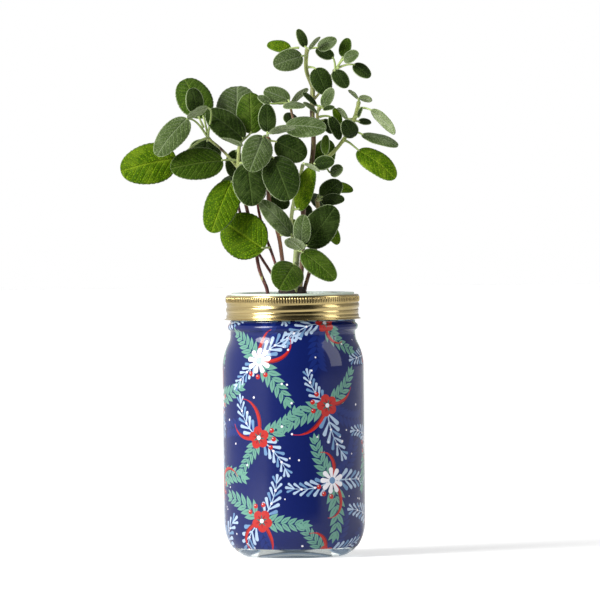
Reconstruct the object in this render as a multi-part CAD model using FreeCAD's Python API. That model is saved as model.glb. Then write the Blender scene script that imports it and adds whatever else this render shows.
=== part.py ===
import FreeCAD, Part
import math
import os

# Hydroponic jar planter: a glass preserving jar in a printed shrink sleeve, a screw band over a sealing gasket,
# a net pot hung in the mouth, and a sage plant that grows out of its coir. Millimetres, +Z up, front along -Y,
# origin at the centre of the ring that the jar rests on.

Vector = FreeCAD.Vector
UP = Vector(0, 0, 1)
CENTRE = Vector(0, 0, 0)

# Shared clearances
seat_gap = 0.1  # between parts that rest on each other
soft_gap = 0.2  # around coir, wick and stems
overrun = 2.0  # how far a cutter passes the face that it opens

# Glass jar
neck_diameter = 84.0
body_past_neck = 5.5  # how far the body stands out
foot_inside_body = 17.5  # how far the foot ring's outside stands in
glass_height = 175.2
heel_height = 24.0
foot_ring_width = 4.0
push_up_height = 3.5
floor_height = 9.5
shoulder_radius = 34.0
neck_fillet = 12.8
neck_below_bead = 3.0
body_wall = 3.4
neck_wall = 3.8
bead_past_neck = 1.8
bead_width = 4.6
bead_below_rim = 19.3
rim_radius = 1.0

# Thread shared by the jar and the screw band
thread_pitch = 5.08
thread_depth = 1.4
thread_root_width = 2.5
thread_tip_width = 1.1
thread_bite = 0.3  # how far a thread's root sinks into its wall
thread_play = 0.65  # between the band's thread and the neck
jar_thread_below_rim = 11.6
jar_thread_turns = 1.25
band_thread_turns = 1.1
band_thread_start_deg = 130.0

# Printed sleeve
sleeve_thickness = 0.3
sleeve_gap = 0.05
sleeve_bottom_height = 6.4
sleeve_below_band = 0.8

# Sealing gasket
gasket_thickness = 1.6
gasket_width = 3.0

# Screw band
band_height = 16.5
band_past_thread = 0.95  # from the jar's thread out to the band's inside
band_sheet = 0.45
band_corner_radius = 0.8
band_lip_inside_rim = 0.5  # how far the band's top opening stays outside the mouth
knurl_past_wall = 0.7
knurl_depth = 0.35
knurl_count = 152
knurl_height = 3.8
knurl_below_top = 1.0
flare_past_wall = 1.8
flare_height = 1.4
groove_radius = 1.5
groove_depth = 0.55

# Net pot
flange_inside_band = 3.0  # how far the flange's edge stands in from the band's wall
flange_thickness = 1.3
cup_inside_mouth = 1.3  # gap round the cup at the jar's mouth
cup_taper = 9.9  # how far the cup's wall leans in over its depth
cup_depth = 70.0
cup_wall = 1.3
side_slot_count = 24
side_slot_rows = 3
side_slot_width = 3.0
side_slot_spacing = 5.5
side_slot_above_floor = 8.5
floor_slot_count = 10
floor_slot_width = 3.0
floor_slot_margin = 4.0

# Growing medium, seed plug and wick
medium_below_flange = 1.6
plug_diameter = 21.0
plug_top_diameter = 19.0
plug_above_flange = 4.0
plug_depth = 30.0
wick_diameter = 7.0
wick_above_floor = 4.0
wick_in_medium = 28.0

# Plant. Its places are pixels of the photograph: column, row, and as many pixels again towards the camera.
plant_height = 178.8
flange_row = 292.5
top_row = 29.0
axis_column = 292.5
level_row = 104.0  # the camera looks level along this row
camera_distance_pixels = 9000.0
lean_share = 0.0105  # the photograph leans to the left by this share of the height
leaf_thickness = 0.8
leaf_gap = 0.25
leaf_arch_share = 0.08
leaf_camber_share = 0.10
leaf_outline_shares = ((0.03, 1.55), (0.85, 1.14))  # poles along the length, and out to half the width
leaf_sheet_share = 1.4  # extent of the sheet that a leaf is cut from, over the leaf's own
arc_share = 0.45  # of the shorter run, used up by the arc at a bend
stem_diameter = 3.4
petiole_diameter = 1.5

# Worked out from the sizes above
mm_per_pixel = plant_height / (flange_row - top_row)
neck_radius = neck_diameter / 2
body_radius = neck_radius + body_past_neck
foot_radius = body_radius - foot_inside_body
mouth_radius = neck_radius - neck_wall
bead_middle = glass_height - bead_below_rim
shoulder_turn = math.acos(1 - body_past_neck / (shoulder_radius + neck_fillet))
shoulder_rise = (shoulder_radius + neck_fillet) * math.sin(shoulder_turn)
shoulder_height = bead_middle - bead_width / 2 - neck_below_bead - shoulder_rise
band_inside = neck_radius + thread_depth + band_past_thread
band_wall = band_inside + band_sheet
band_top = glass_height + gasket_thickness + 2 * seat_gap + band_sheet
band_bottom = band_top - band_height
band_opening_radius = mouth_radius + band_lip_inside_rim
flange_radius = band_wall - flange_inside_band
cup_top_radius = mouth_radius - cup_inside_mouth
cup_bottom_radius = cup_top_radius - cup_taper
side_slot_pitch = (cup_depth - side_slot_above_floor) / side_slot_rows
flange_bottom = band_top + seat_gap
flange_top = flange_bottom + flange_thickness
cup_floor_bottom = flange_bottom - cup_depth
cup_floor_top = cup_floor_bottom + cup_wall
medium_top = flange_top - medium_below_flange
plug_top = flange_top + plug_above_flange
wick_top = cup_floor_top + wick_in_medium

# Stems: each branch's width over the main one's, and its route in pixels. A side branch starts inside the first.
stem_width_shares = {
    "left": 0.74, "far_left": 0.59, "low": 0.59, "reddish": 0.59, "middle": 0.82, "front": 1.29, "front_side": 0.76,
    "rear": 0.79, "main": 1, "top": 0.82, "crest": 0.50, "right": 0.76, "inner": 0.59, "behind": 0.53,
}
stems = {
    "left_stem": {
        "left": [(268, 306, 0), (268, 290, 0), (259, 270, 0), (256, 250, 0), (249, 217, 0), (240, 180, 0),
                 (238, 160, 1), (240, 142, 2)],
        "far_left": [(239, 169, 0), (224, 151, 0), (208, 138, 0)],
    },
    "low_stem": {
        "low": [(283, 306, -7), (283, 291, -7), (270, 271, -8), (261, 257, -10), (245, 233, -12),
                (236, 196, -10)],
    },
    "reddish_stem": {
        "reddish": [(283, 306, 7), (282, 288, 7), (274, 258, 6), (265, 235, 2), (259, 213, -3),
                    (257, 198, -8)],
    },
    "middle_stem": {
        "middle": [(286, 306, 1), (286, 288, 1), (282, 256, 3), (279, 235, 4), (269, 206, 6), (268, 180, 8),
                   (266, 154, 10), (267, 137, 11)],
    },
    "front_stem": {
        "front": [(295, 306, 10), (295, 290, 10), (296, 263, 13), (297, 250, 15)],
        "front_side": [(297, 254, 14), (292, 238, 12), (291, 218, 9), (294, 200, 7), (300, 178, 6),
                       (303, 164, 6)],
    },
    "rear_stem": {
        "rear": [(304, 306, 4), (304, 290, 4), (309, 274, 2), (316, 248, -6), (320, 217, -10),
                 (317, 199, -10)],
    },
    "main_stem": {
        "main": [(300, 306, -5), (300, 290, -5), (303, 250, -5), (303, 212, -5), (306, 185, -3),
                 (312, 162, 0), (314, 142, 0), (312, 112, 0), (313, 84, 0)],
        "top": [(313, 88, 0), (306, 71, 0), (306, 59, 0), (307, 49, 0)],
        "crest": [(313, 101, 0), (325, 86, -3), (335, 70, -3)],
        "right": [(312, 165, 0), (323, 161, 3), (335, 151, 4), (347, 135, 2), (354, 121, 0), (359, 102, -2)],
        "inner": [(314, 137, 0), (318, 123, 8), (317, 113, 12), (320, 107, 14)],
        "behind": [(313, 129, 0), (301, 129, -8), (293, 119, -10), (290, 104, -10)],
    },
}

# Leaves: the branch that carries them, their tone, base, tip, width as seen, and how far the upper side turns up in
# degrees. Past 90 degrees the leaf shows its underside.
leaves = [
    ("far_left", "bright", (176, 158, 6), (121, 171, 10), 40, 15),
    ("far_left", "grey", (187, 119, 20), (157, 155, 32), 25, 25),
    ("far_left", "green", (203, 117, 0), (184, 80, -36), 34, 10),
    ("far_left", "dark", (198, 113, 10), (192, 88, 14), 18, 20),
    ("far_left", "grey", (207, 107, 28), (188, 118, 34), 8, 118),
    ("far_left", "dark", (208, 141, -6), (203, 162, -32), 32, 0),
    ("left", "dark", (243, 138, 8), (207, 111, 7), 27, 20),
    ("left", "grey", (238, 127, -10), (237, 86, -52), 41, 0),
    ("left", "green", (250, 132, 1), (250, 93, -26), 29, 0),
    ("left", "grey", (241, 146, 22), (222, 137, 34), 5, 112),
    ("left", "dark", (246, 163, 14), (253, 206, 34), 34, 0),
    ("left", "green", (223, 159, 10), (171, 169, 24), 32, 20),
    ("left", "dark", (236, 150, -6), (233, 177, -12), 18, 10),
    ("left", "bright", (232, 180, 8), (212, 233, 26), 33, 15),
    ("low", "dark", (236, 190, -14), (228, 176, -52), 26, 0),
    ("reddish", "bright", (262, 250, 16), (224, 222, -2), 46, 0),
    ("reddish", "green", (257, 203, -12), (252, 192, -54), 24, 0),
    ("middle", "grey", (291, 235, 18), (260, 201, 28), 19, 25),
    ("middle", "dark", (267, 132, 13), (267, 104, 24), 18, 10),
    ("middle", "grey", (264, 137, 20), (250, 171, 46), 30, 0),
    ("middle", "grey", (270, 134, 30), (295, 126, 38), 8, 120),
    ("middle", "grey", (286, 127, 20), (326, 129, 34), 21, 35),
    ("middle", "dark", (276, 141, 10), (306, 157, 14), 27, 10),
    ("middle", "dark", (275, 157, 22), (290, 200, 50), 36, 0),
    ("middle", "dark", (271, 196, 0), (289, 206, -6), 16, 0),
    ("middle", "green", (263, 150, -4), (257, 140, -46), 24, 0),
    ("front", "green", (292, 263, 24), (280, 288, 56), 33, 0),
    ("front", "green", (303, 252, 20), (335, 279, 34), 23, 15),
    ("front", "dark", (306, 245, 14), (335, 207, 32), 33, 0),
    ("front", "grey", (301, 244, 26), (304, 215, 38), 18, 20),
    ("front", "grey", (305, 248, 32), (287, 239, 42), 12, 125),
    ("front_side", "bright", (301, 211, 16), (312, 167, 22), 19, 25),
    ("front_side", "bright", (293, 219, 1), (297, 231, -8), 9, 0),
    ("front_side", "grey", (305, 165, 26), (320, 170, 34), 5, 115),
    ("rear", "dark", (321, 196, -8), (341, 181, -18), 20, 10),
    ("rear", "dark", (322, 200, -2), (344, 199, 8), 12, 40),
    ("rear", "bright", (328, 187, -24), (354, 189, -34), 11, 30),
    ("rear", "bright", (327, 225, -14), (339, 244, -22), 12, 20),
    ("rear", "dark", (317, 206, -16), (322, 198, -58), 22, 0),
    ("main", "dark", (305, 205, -12), (308, 218, -26), 12, 0),
    ("right", "grey", (330, 172, 12), (343, 168, 20), 12, 20),
    ("right", "dark", (315, 164, 18), (334, 161, 26), 14, 20),
    ("right", "green", (325, 154, 12), (326, 135, 18), 9, 30),
    ("right", "green", (322, 170, -6), (328, 139, -18), 23, 0),
    ("right", "grey", (358, 98, -6), (349, 90, -14), 4, 120),
    ("right", "grey", (360, 98, 2), (372, 100, 8), 7, 130),
    ("right", "dark", (358, 117, 4), (362, 107, 10), 4, 55),
    ("right", "grey", (371, 111, 10), (396, 133, 18), 11, 130),
    ("right", "dark", (359, 122, -4), (371, 122, -14), 7, 40),
    ("right", "grey", (362, 135, 4), (398, 146, 12), 11, 55),
    ("right", "bright", (359, 149, 12), (395, 178, 26), 23, 30),
    ("right", "dark", (354, 136, 10), (344, 121, 32), 17, 0),
    ("right", "bright", (340, 124, -6), (334, 108, -14), 8, 40),
    ("right", "grey", (349, 120, -10), (337, 109, -20), 6, 125),
    ("inner", "dark", (330, 116, 12), (339, 140, 16), 11, 35),
    ("inner", "dark", (323, 109, 16), (334, 107, 24), 5, 55),
    ("inner", "dark", (322, 120, 4), (333, 133, 2), 10, 20),
    ("inner", "grey", (322, 106, 12), (333, 88, 16), 12, 20),
    ("inner", "dark", (317, 105, 12), (302, 93, 16), 6, 50),
    ("inner", "grey", (318, 112, 20), (303, 103, 30), 5, 60),
    ("behind", "grey", (292, 101, -14), (308, 89, -24), 7, 120),
    ("behind", "grey", (284, 104, 2), (305, 107, 12), 8, 55),
    ("behind", "grey", (289, 101, -12), (264, 90, -20), 17, 20),
    ("behind", "grey", (270, 105, -4), (258, 96, -10), 8, 30),
    ("behind", "dark", (288, 124, -12), (292, 113, -30), 15, 0),
    ("top", "bright", (291, 47, -2), (267, 44, -6), 12, 25),
    ("top", "grey", (302, 56, 8), (274, 65, 22), 22, 10),
    ("top", "dark", (305, 47, -4), (298, 29, -8), 10, 20),
    ("top", "grey", (317, 46, 2), (337, 40, 6), 13, 30),
    ("top", "grey", (308, 49, 10), (320, 37, 16), 4, 110),
    ("top", "dark", (317, 67, 6), (327, 94, 10), 21, 0),
    ("crest", "dark", (333, 58, -6), (316, 49, -14), 12, 15),
    ("crest", "green", (342, 57, 0), (348, 38, -6), 12, 15),
    ("crest", "grey", (343, 60, 8), (359, 54, 18), 12, 30),
    ("crest", "dark", (354, 65, 4), (370, 77, 10), 13, 25),
    ("crest", "dark", (334, 71, 8), (347, 87, 18), 15, 15),
]


# Profiles in the plane of X and Z


def at(radius, height):
    return Vector(radius, 0, height)


def line(start, end):
    return Part.LineSegment(start, end).toShape()


def lines(*points):
    return [line(start, end) for start, end in zip(points, points[1:])]


def arc(start, middle, end):
    return Part.Arc(start, middle, end).toShape()


def turned_arc(centre, radius, start, end):
    def point(angle):
        return centre + at(radius * math.cos(angle), radius * math.sin(angle))

    return arc(point(start), point((start + end) / 2), point(end))


def quarter(start, end):
    # Quarter of an ellipse that leaves start along X and reaches end along Z
    pull = 4 / 3 * (math.sqrt(2) - 1)
    curve = Part.BezierCurve()
    curve.setPoles([start, start + at((end.x - start.x) * pull, 0), end - at(0, (end.z - start.z) * pull), end])
    return curve.toShape()


def shoulder(body, neck, convex, concave):
    # Two arcs from the body's radius in to the neck's, and the height that they end at
    turn = math.acos(1 - (body - neck) / (convex + concave))
    top = shoulder_height + (convex + concave) * math.sin(turn)
    arcs = [
        turned_arc(at(body - convex, shoulder_height), convex, 0, turn),
        turned_arc(at(neck + concave, top), concave, math.pi + turn, math.pi),
    ]
    return arcs, top


def spun(edges):
    face = Part.Face(Part.Wire(Part.sortEdges(edges)[0]))
    return face.revolve(CENTRE, UP, 360)


def cylinder(radius, bottom, top):
    return Part.makeCylinder(radius, top - bottom, at(0, bottom))


def ring_of(shape, count):
    turned = []
    for index in range(count):
        copy = shape.copy()
        copy.rotate(CENTRE, UP, 360 * index / count)
        turned.append(copy)
    return turned


def thread(root_radius, tip_radius, turns, start_deg, start_height):
    helix = Part.makeHelix(thread_pitch, thread_pitch * turns, root_radius)
    section = Part.makePolygon([
        at(root_radius, -thread_root_width / 2),
        at(tip_radius, -thread_tip_width / 2),
        at(tip_radius, thread_tip_width / 2),
        at(root_radius, thread_root_width / 2),
        at(root_radius, -thread_root_width / 2),
    ])
    ridge = Part.Wire(helix.Edges).makePipeShell([section], True, True)
    return on_helix(ridge, start_deg, start_height)


def on_helix(shape, start_deg, start_height):
    shape.rotate(CENTRE, UP, start_deg)
    shape.translate(at(0, start_height))
    return shape


# Jar, sleeve, gasket and band


def outer_skin(offset, top):
    # The jar's outside from the foot ring up to the given height, moved out by the offset
    body = body_radius + offset
    neck = neck_radius + offset
    arcs, neck_start = shoulder(body, neck, shoulder_radius + offset, neck_fillet - offset)
    bead_reach = bead_width / 2 + offset
    bead_bottom = at(neck, bead_middle - bead_reach)
    bead_top = at(neck, bead_middle + bead_reach)
    return [
        quarter(at(foot_radius, -offset), at(body, heel_height)),
        line(at(body, heel_height), at(body, shoulder_height)),
        *arcs,
        line(at(neck, neck_start), bead_bottom),
        arc(bead_bottom, at(neck + bead_past_neck, bead_middle), bead_top),
        line(bead_top, at(neck, top)),
    ]


def jar_thread_height():
    return glass_height - jar_thread_below_rim


def glass_jar():
    body = body_radius - body_wall
    foot_inside = foot_radius - foot_ring_width
    bend = rim_radius * (1 - math.sqrt(0.5))
    arcs, neck_start = shoulder(body, mouth_radius, shoulder_radius - body_wall, neck_fillet + neck_wall)
    dome_radius = (foot_inside**2 + push_up_height**2) / 2 / push_up_height
    dome_middle = push_up_height - dome_radius + math.sqrt(dome_radius**2 - (foot_inside / 2) ** 2)
    edges = outer_skin(0, glass_height - rim_radius)
    edges += [
        arc(at(neck_radius, glass_height - rim_radius), at(neck_radius - bend, glass_height - bend),
            at(neck_radius - rim_radius, glass_height)),
        line(at(neck_radius - rim_radius, glass_height), at(mouth_radius + rim_radius, glass_height)),
        arc(at(mouth_radius + rim_radius, glass_height), at(mouth_radius + bend, glass_height - bend),
            at(mouth_radius, glass_height - rim_radius)),
        line(at(mouth_radius, glass_height - rim_radius), at(mouth_radius, neck_start)),
        *arcs,
        line(at(body, shoulder_height), at(body, heel_height)),
        quarter(at(foot_radius, floor_height), at(body, heel_height)),
        *lines(at(foot_radius, floor_height), at(0, floor_height), at(0, push_up_height)),
        arc(at(0, push_up_height), at(foot_inside / 2, dome_middle), at(foot_inside, 0)),
        line(at(foot_inside, 0), at(foot_radius, 0)),
    ]
    glass = spun(edges)
    ridge = thread(neck_radius - thread_bite, neck_radius + thread_depth, jar_thread_turns, 0, jar_thread_height())
    return glass.fuse(ridge).removeSplitter()


def printed_sleeve():
    top = band_bottom - sleeve_below_band
    inner = outer_skin(sleeve_gap, top)
    outer = outer_skin(sleeve_gap + sleeve_thickness, top)
    skin = spun([
        *inner,
        *outer,
        line(at(foot_radius, -sleeve_gap), at(foot_radius, -sleeve_gap - sleeve_thickness)),
        line(at(neck_radius + sleeve_gap, top), at(neck_radius + sleeve_gap + sleeve_thickness, top)),
    ])
    return skin.common(cylinder(2 * body_radius, sleeve_bottom_height, band_top))


def sealing_gasket():
    outside = cylinder(mouth_radius + band_lip_inside_rim + gasket_width, glass_height + seat_gap,
                       glass_height + seat_gap + gasket_thickness)
    return outside.cut(cylinder(mouth_radius + band_lip_inside_rim, 0, band_top))


def knurled_ring():
    points = []
    for index in range(2 * knurl_count + 1):
        angle = math.pi * index / knurl_count
        radius = band_wall + knurl_past_wall - knurl_depth * (index % 2)
        points.append(Vector(radius * math.cos(angle), radius * math.sin(angle), band_top - knurl_below_top))
    return Part.Face(Part.makePolygon(points)).extrude(at(0, -knurl_height))


def screw_band():
    wall = band_wall
    inside = band_inside
    flare = wall + flare_past_wall
    bend = band_corner_radius * (1 - math.sqrt(0.5))
    sheet = spun([
        *lines(at(wall, band_top - band_corner_radius), at(wall, band_bottom + flare_height), at(flare, band_bottom),
               at(flare - band_sheet, band_bottom), at(inside, band_bottom + flare_height),
               at(inside, band_top - band_sheet), at(band_opening_radius, band_top - band_sheet),
               at(band_opening_radius, band_top), at(wall - band_corner_radius, band_top)),
        arc(at(wall - band_corner_radius, band_top), at(wall - bend, band_top - bend),
            at(wall, band_top - band_corner_radius)),
    ])
    knurls = knurled_ring().cut(cylinder(wall - band_sheet / 2, 0, band_top))
    start_height = jar_thread_height() + thread_pitch * band_thread_start_deg / 360 - thread_pitch / 2
    ridge = thread(inside + thread_bite, neck_radius + thread_play, band_thread_turns, band_thread_start_deg,
                   start_height)
    groove_centre = wall + groove_radius - groove_depth
    helix = Part.makeHelix(thread_pitch, thread_pitch * band_thread_turns, groove_centre)
    circle = Part.Wire(Part.makeCircle(groove_radius, at(groove_centre, 0), Vector(0, 1, 0)))
    groove = Part.Wire(helix.Edges).makePipeShell([circle], True, True)
    groove = on_helix(groove, band_thread_start_deg, start_height)
    return sheet.fuse([knurls, ridge]).cut(groove)


# Net pot, growing medium, seed plug and wick


def cup_inner_radius(height):
    share = (height - cup_floor_top) / (flange_top - cup_floor_top)
    bottom = cup_bottom_radius - cup_wall
    top = cup_top_radius - cup_wall
    return bottom + (top - bottom) * share


def net_pot():
    pot = spun(lines(
        at(0, cup_floor_bottom),
        at(cup_bottom_radius, cup_floor_bottom),
        at(cup_top_radius, flange_bottom),
        at(flange_radius, flange_bottom),
        at(flange_radius, flange_top),
        at(cup_inner_radius(flange_top), flange_top),
        at(cup_inner_radius(cup_floor_top), cup_floor_top),
        at(0, cup_floor_top),
        at(0, cup_floor_bottom),
    ))
    cutters = [cylinder(wick_diameter / 2 + soft_gap, cup_floor_bottom - overrun, cup_floor_top + overrun)]
    slot_start = cup_bottom_radius - cup_wall - overrun
    slot_reach = cup_top_radius + overrun - slot_start
    for row in range(side_slot_rows):
        corner = Vector(slot_start, -side_slot_width / 2, flange_bottom - (row + 1) * side_slot_pitch)
        slot = Part.makeBox(slot_reach, side_slot_width, side_slot_pitch - side_slot_spacing, corner)
        cutters += ring_of(slot, side_slot_count)
    floor_start = wick_diameter / 2 + floor_slot_margin
    floor_reach = cup_bottom_radius - cup_wall - floor_slot_margin - floor_start
    corner = Vector(floor_start, -floor_slot_width / 2, cup_floor_bottom - overrun)
    slot = Part.makeBox(floor_reach, floor_slot_width, cup_wall + 2 * overrun, corner)
    cutters += ring_of(slot, floor_slot_count)
    return pot.cut(Part.makeCompound(cutters))


def stem_bores():
    bores = []
    for branches in stems.values():
        branch, pixels = next(iter(branches.items()))
        bores.append(stem_tube(pixels, stem_radius(branch) + soft_gap))
    return bores


def growing_medium():
    bottom = cup_floor_top + seat_gap
    coir = spun(lines(
        at(0, bottom),
        at(cup_inner_radius(bottom) - soft_gap, bottom),
        at(cup_inner_radius(medium_top) - soft_gap, medium_top),
        at(0, medium_top),
        at(0, bottom),
    ))
    wick_bore = cylinder(wick_diameter / 2 + soft_gap, bottom - overrun, wick_top + seat_gap)
    plug_bore = cylinder(plug_diameter / 2 + soft_gap, medium_top - plug_depth - seat_gap, medium_top + overrun)
    return coir.cut([wick_bore, plug_bore, *stem_bores()])


def seed_plug():
    plug = spun(lines(
        at(0, medium_top - plug_depth),
        at(plug_diameter / 2, medium_top - plug_depth),
        at(plug_diameter / 2, medium_top),
        at(plug_top_diameter / 2, plug_top),
        at(0, plug_top),
        at(0, medium_top - plug_depth),
    ))
    return plug.cut(stem_bores())


def wick():
    return cylinder(wick_diameter / 2, floor_height + wick_above_floor, wick_top)


# Plant


def place(pixel):
    # A point of the plant from a pixel of the photograph, with the lean and the view from above taken out
    column, row, toward = pixel
    across = column - axis_column
    rise = flange_row - row
    height = rise - lean_share * across + toward * (row - level_row) / camera_distance_pixels
    return Vector(across + lean_share * rise, -toward, height) * mm_per_pixel + at(0, flange_top)


def stem_tube(pixels, radius):
    # Straight runs joined by tangent arcs
    points = [place(pixel) for pixel in pixels]
    edges = []
    start = points[0]
    for before, corner, after in zip(points, points[1:], points[2:]):
        back = before - corner
        onward = after - corner
        trim = arc_share * min(back.Length, onward.Length)
        back.normalize()
        onward.normalize()
        half_turn = (math.pi - back.getAngle(onward)) / 2
        bend = back + onward
        bend.normalize()
        radius_of_arc = trim / math.tan(half_turn)
        inset = radius_of_arc * (1 / math.cos(half_turn) - 1)
        edges.append(line(start, corner + back * trim))
        edges.append(arc(corner + back * trim, corner + bend * inset, corner + onward * trim))
        start = corner + onward * trim
    edges.append(line(start, points[-1]))
    path = Part.Wire(edges)
    circle = Part.Wire(Part.makeCircle(radius, points[0], points[1] - points[0]))
    return path.makePipeShell([circle], True, True)


def stem_radius(branch):
    return stem_diameter / 2 * stem_width_shares[branch]


def stem(branches):
    tubes = [stem_tube(pixels, stem_radius(branch)) for branch, pixels in branches.items()]
    if len(tubes) == 1:
        return tubes[0]
    return tubes[0].fuse(tubes[1:])


def leaf_blade(base, tip, width, turn_up_deg):
    # An ovate outline cut out of a sheet that is arched along its length and across its width
    length = (tip - base).Length
    arch = leaf_arch_share * length
    camber = leaf_camber_share * width
    arch_radius = (length**2 / 4 + arch**2) / 2 / arch
    camber_radius = (width**2 / 4 + camber**2) / 2 / camber
    centre = at(length / 2, arch - arch_radius)
    spread = leaf_sheet_share * math.asin(length / 2 / arch_radius)
    turn = leaf_sheet_share * math.degrees(math.asin(width / 2 / camber_radius))
    bounds = [arch_radius - leaf_thickness / 2, arch_radius + leaf_thickness / 2]
    edges = [turned_arc(centre, radius, math.pi / 2 - spread, math.pi / 2 + spread) for radius in bounds]
    edges += [line(edges[0].Vertexes[end].Point, edges[1].Vertexes[end].Point) for end in (0, 1)]
    strip = Part.Face(Part.Wire(Part.sortEdges(edges)[0]))
    axis_point = at(0, arch - camber_radius)
    strip.rotate(axis_point, Vector(1, 0, 0), -turn)
    sheet = strip.revolve(axis_point, Vector(1, 0, 0), 2 * turn)

    def side(hand):
        curve = Part.BezierCurve()
        poles = [CENTRE]
        poles += [Vector(along * length, hand * out * width / 2, 0) for along, out in leaf_outline_shares]
        curve.setPoles([*poles, Vector(length, 0, 0)])
        return curve.toShape()

    outline = Part.Face(Part.Wire([side(1), side(-1)]))
    reach = arch + camber + leaf_thickness
    outline.translate(at(0, -reach))
    blade = outline.extrude(at(0, 2 * reach)).common(sheet).Solids[0]
    blade.Placement = leaf_placement(base, tip, turn_up_deg)
    return blade


def leaf_placement(base, tip, turn_up_deg):
    along = tip - base
    along.normalize()
    facing = Vector(0, -1, 0)
    facing = facing - along * facing.dot(along)
    facing.normalize()
    skyward = along.cross(facing)
    if skyward.z < 0:
        skyward = -skyward
    turn = math.radians(turn_up_deg)
    normal = facing * math.cos(turn) + skyward * math.sin(turn)
    return FreeCAD.Placement(base, FreeCAD.Rotation(along, normal.cross(along), normal, "XZY"))


def nearest_on_branch(pixels, point):
    nearest = []
    points = [place(pixel) for pixel in pixels]
    for start, end in zip(points, points[1:]):
        run = end - start
        share = max(0, min(1, (point - start).dot(run) / run.dot(run)))
        on_run = start + run * share
        nearest.append(((point - on_run).Length, on_run))
    return min(nearest, key=lambda pair: pair[0])[1]


def petiole(root, base, neighbours):
    run = base - root
    rod = Part.makeCylinder(petiole_diameter / 2, run.Length - leaf_gap, root, run)
    met = [solid for solid in neighbours if solid.BoundBox.intersect(rod.BoundBox)]
    return max(rod.cut(met).Solids, key=lambda piece: piece.Volume)


def plant():
    nodes = {name: [stem(branches)] for name, branches in stems.items()}
    stem_of = {branch: name for name, branches in stems.items() for branch in branches}
    for branch, tone, base_pixel, tip_pixel, seen_width, turn_up_deg in leaves:
        stem_name = stem_of[branch]
        base = place(base_pixel)
        width = seen_width * mm_per_pixel / abs(math.cos(math.radians(turn_up_deg)))
        blade = leaf_blade(base, place(tip_pixel), width, turn_up_deg)
        root = nearest_on_branch(stems[stem_name][branch], base)
        stalks = nodes.setdefault(stem_name.replace("_stem", "_petioles"), [])
        stalks.append(petiole(root, base, [nodes[stem_name][0], blade, *stalks]))
        nodes.setdefault(f"{branch}_{tone}_leaves", []).append(blade)
    return nodes


def export(name, solids):
    shape = solids[0] if len(solids) == 1 else Part.makeCompound(solids)
    assert shape.isValid(), name
    shape.exportStep(f"parts/{name}.step")
    print(f"{name}: {len(shape.Solids)} solids, {shape.Volume:.1f} mm3")


os.makedirs("parts", exist_ok=True)
for make in (glass_jar, printed_sleeve, sealing_gasket, screw_band, net_pot, growing_medium, seed_plug, wick):
    export(make.__name__, [make()])
for name, solids in plant().items():
    export(name, solids)
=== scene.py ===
import bpy
import bmesh
import math
import random
from mathutils import Matrix, Vector, noise
from mathutils.geometry import delaunay_2d_cdt
from mathutils.kdtree import KDTree


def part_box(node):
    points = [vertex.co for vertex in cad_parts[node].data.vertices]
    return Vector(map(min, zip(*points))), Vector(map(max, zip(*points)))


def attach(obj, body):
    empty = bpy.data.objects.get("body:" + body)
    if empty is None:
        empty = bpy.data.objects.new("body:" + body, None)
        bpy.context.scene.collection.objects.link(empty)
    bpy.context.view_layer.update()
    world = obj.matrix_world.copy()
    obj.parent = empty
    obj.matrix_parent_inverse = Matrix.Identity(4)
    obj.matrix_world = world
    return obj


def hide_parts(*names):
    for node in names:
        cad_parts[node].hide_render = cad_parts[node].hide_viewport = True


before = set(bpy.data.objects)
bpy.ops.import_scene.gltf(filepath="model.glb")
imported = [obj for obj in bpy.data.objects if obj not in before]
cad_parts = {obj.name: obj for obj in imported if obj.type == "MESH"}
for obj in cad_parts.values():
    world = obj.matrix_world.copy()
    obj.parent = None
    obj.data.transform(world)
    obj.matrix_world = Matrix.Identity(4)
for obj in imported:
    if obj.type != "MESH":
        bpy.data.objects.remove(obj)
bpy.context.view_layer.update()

# Sizes are millimetres, and pieces become metres as their meshes are made. Colours that go through screen are
# screen values, 0 to 255.
mm = 0.001
up = Vector((0, 0, 1))


def nodeBox(node):
    low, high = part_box(node)
    return low / mm, high / mm


def screen(red, green, blue):
    def linear(value):
        value /= 255
        return value / 12.92 if value <= 0.04045 else ((value + 0.055) / 1.055) ** 2.4

    return linear(red), linear(green), linear(blue), 1


def smooth(low, high, value):
    share = max(0, min(1, (value - low) / (high - low)))
    return share * share * (3 - 2 * share)


# Making pieces

def makePiece(name, points, faces, materials, materialOf=None, uvs=None, attributes=()):
    mesh = bpy.data.meshes.new(name)
    mesh.from_pydata([Vector(point) * mm for point in points], [], faces)
    for material in materials:
        mesh.materials.append(material)
    mesh.polygons.foreach_set("use_smooth", [True] * len(mesh.polygons))
    if materialOf:
        mesh.polygons.foreach_set("material_index", materialOf)
    if uvs:
        layer = mesh.uv_layers.new(name="UVMap")
        for loop in mesh.loops:
            layer.data[loop.index].uv = uvs[loop.vertex_index]
    for label, values in dict(attributes).items():
        mesh.attributes.new(label, "FLOAT", "POINT").data.foreach_set("value", values)
    mesh.update()
    return link(name, mesh)


def link(name, mesh):
    piece = bpy.data.objects.new(name, mesh)
    bpy.context.scene.collection.objects.link(piece)
    return piece


def settle(piece, body, slot, *nodes):
    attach(piece, body)
    if nodes:
        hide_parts(*nodes)
    return piece


def evaluated(work, name):
    # The finished mesh of an object with modifiers, as a plain piece
    bpy.context.view_layer.update()
    graph = bpy.context.evaluated_depsgraph_get()
    mesh = bpy.data.meshes.new_from_object(work.evaluated_get(graph))
    bpy.data.objects.remove(work)
    mesh.name = name
    return link(name, mesh)


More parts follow.
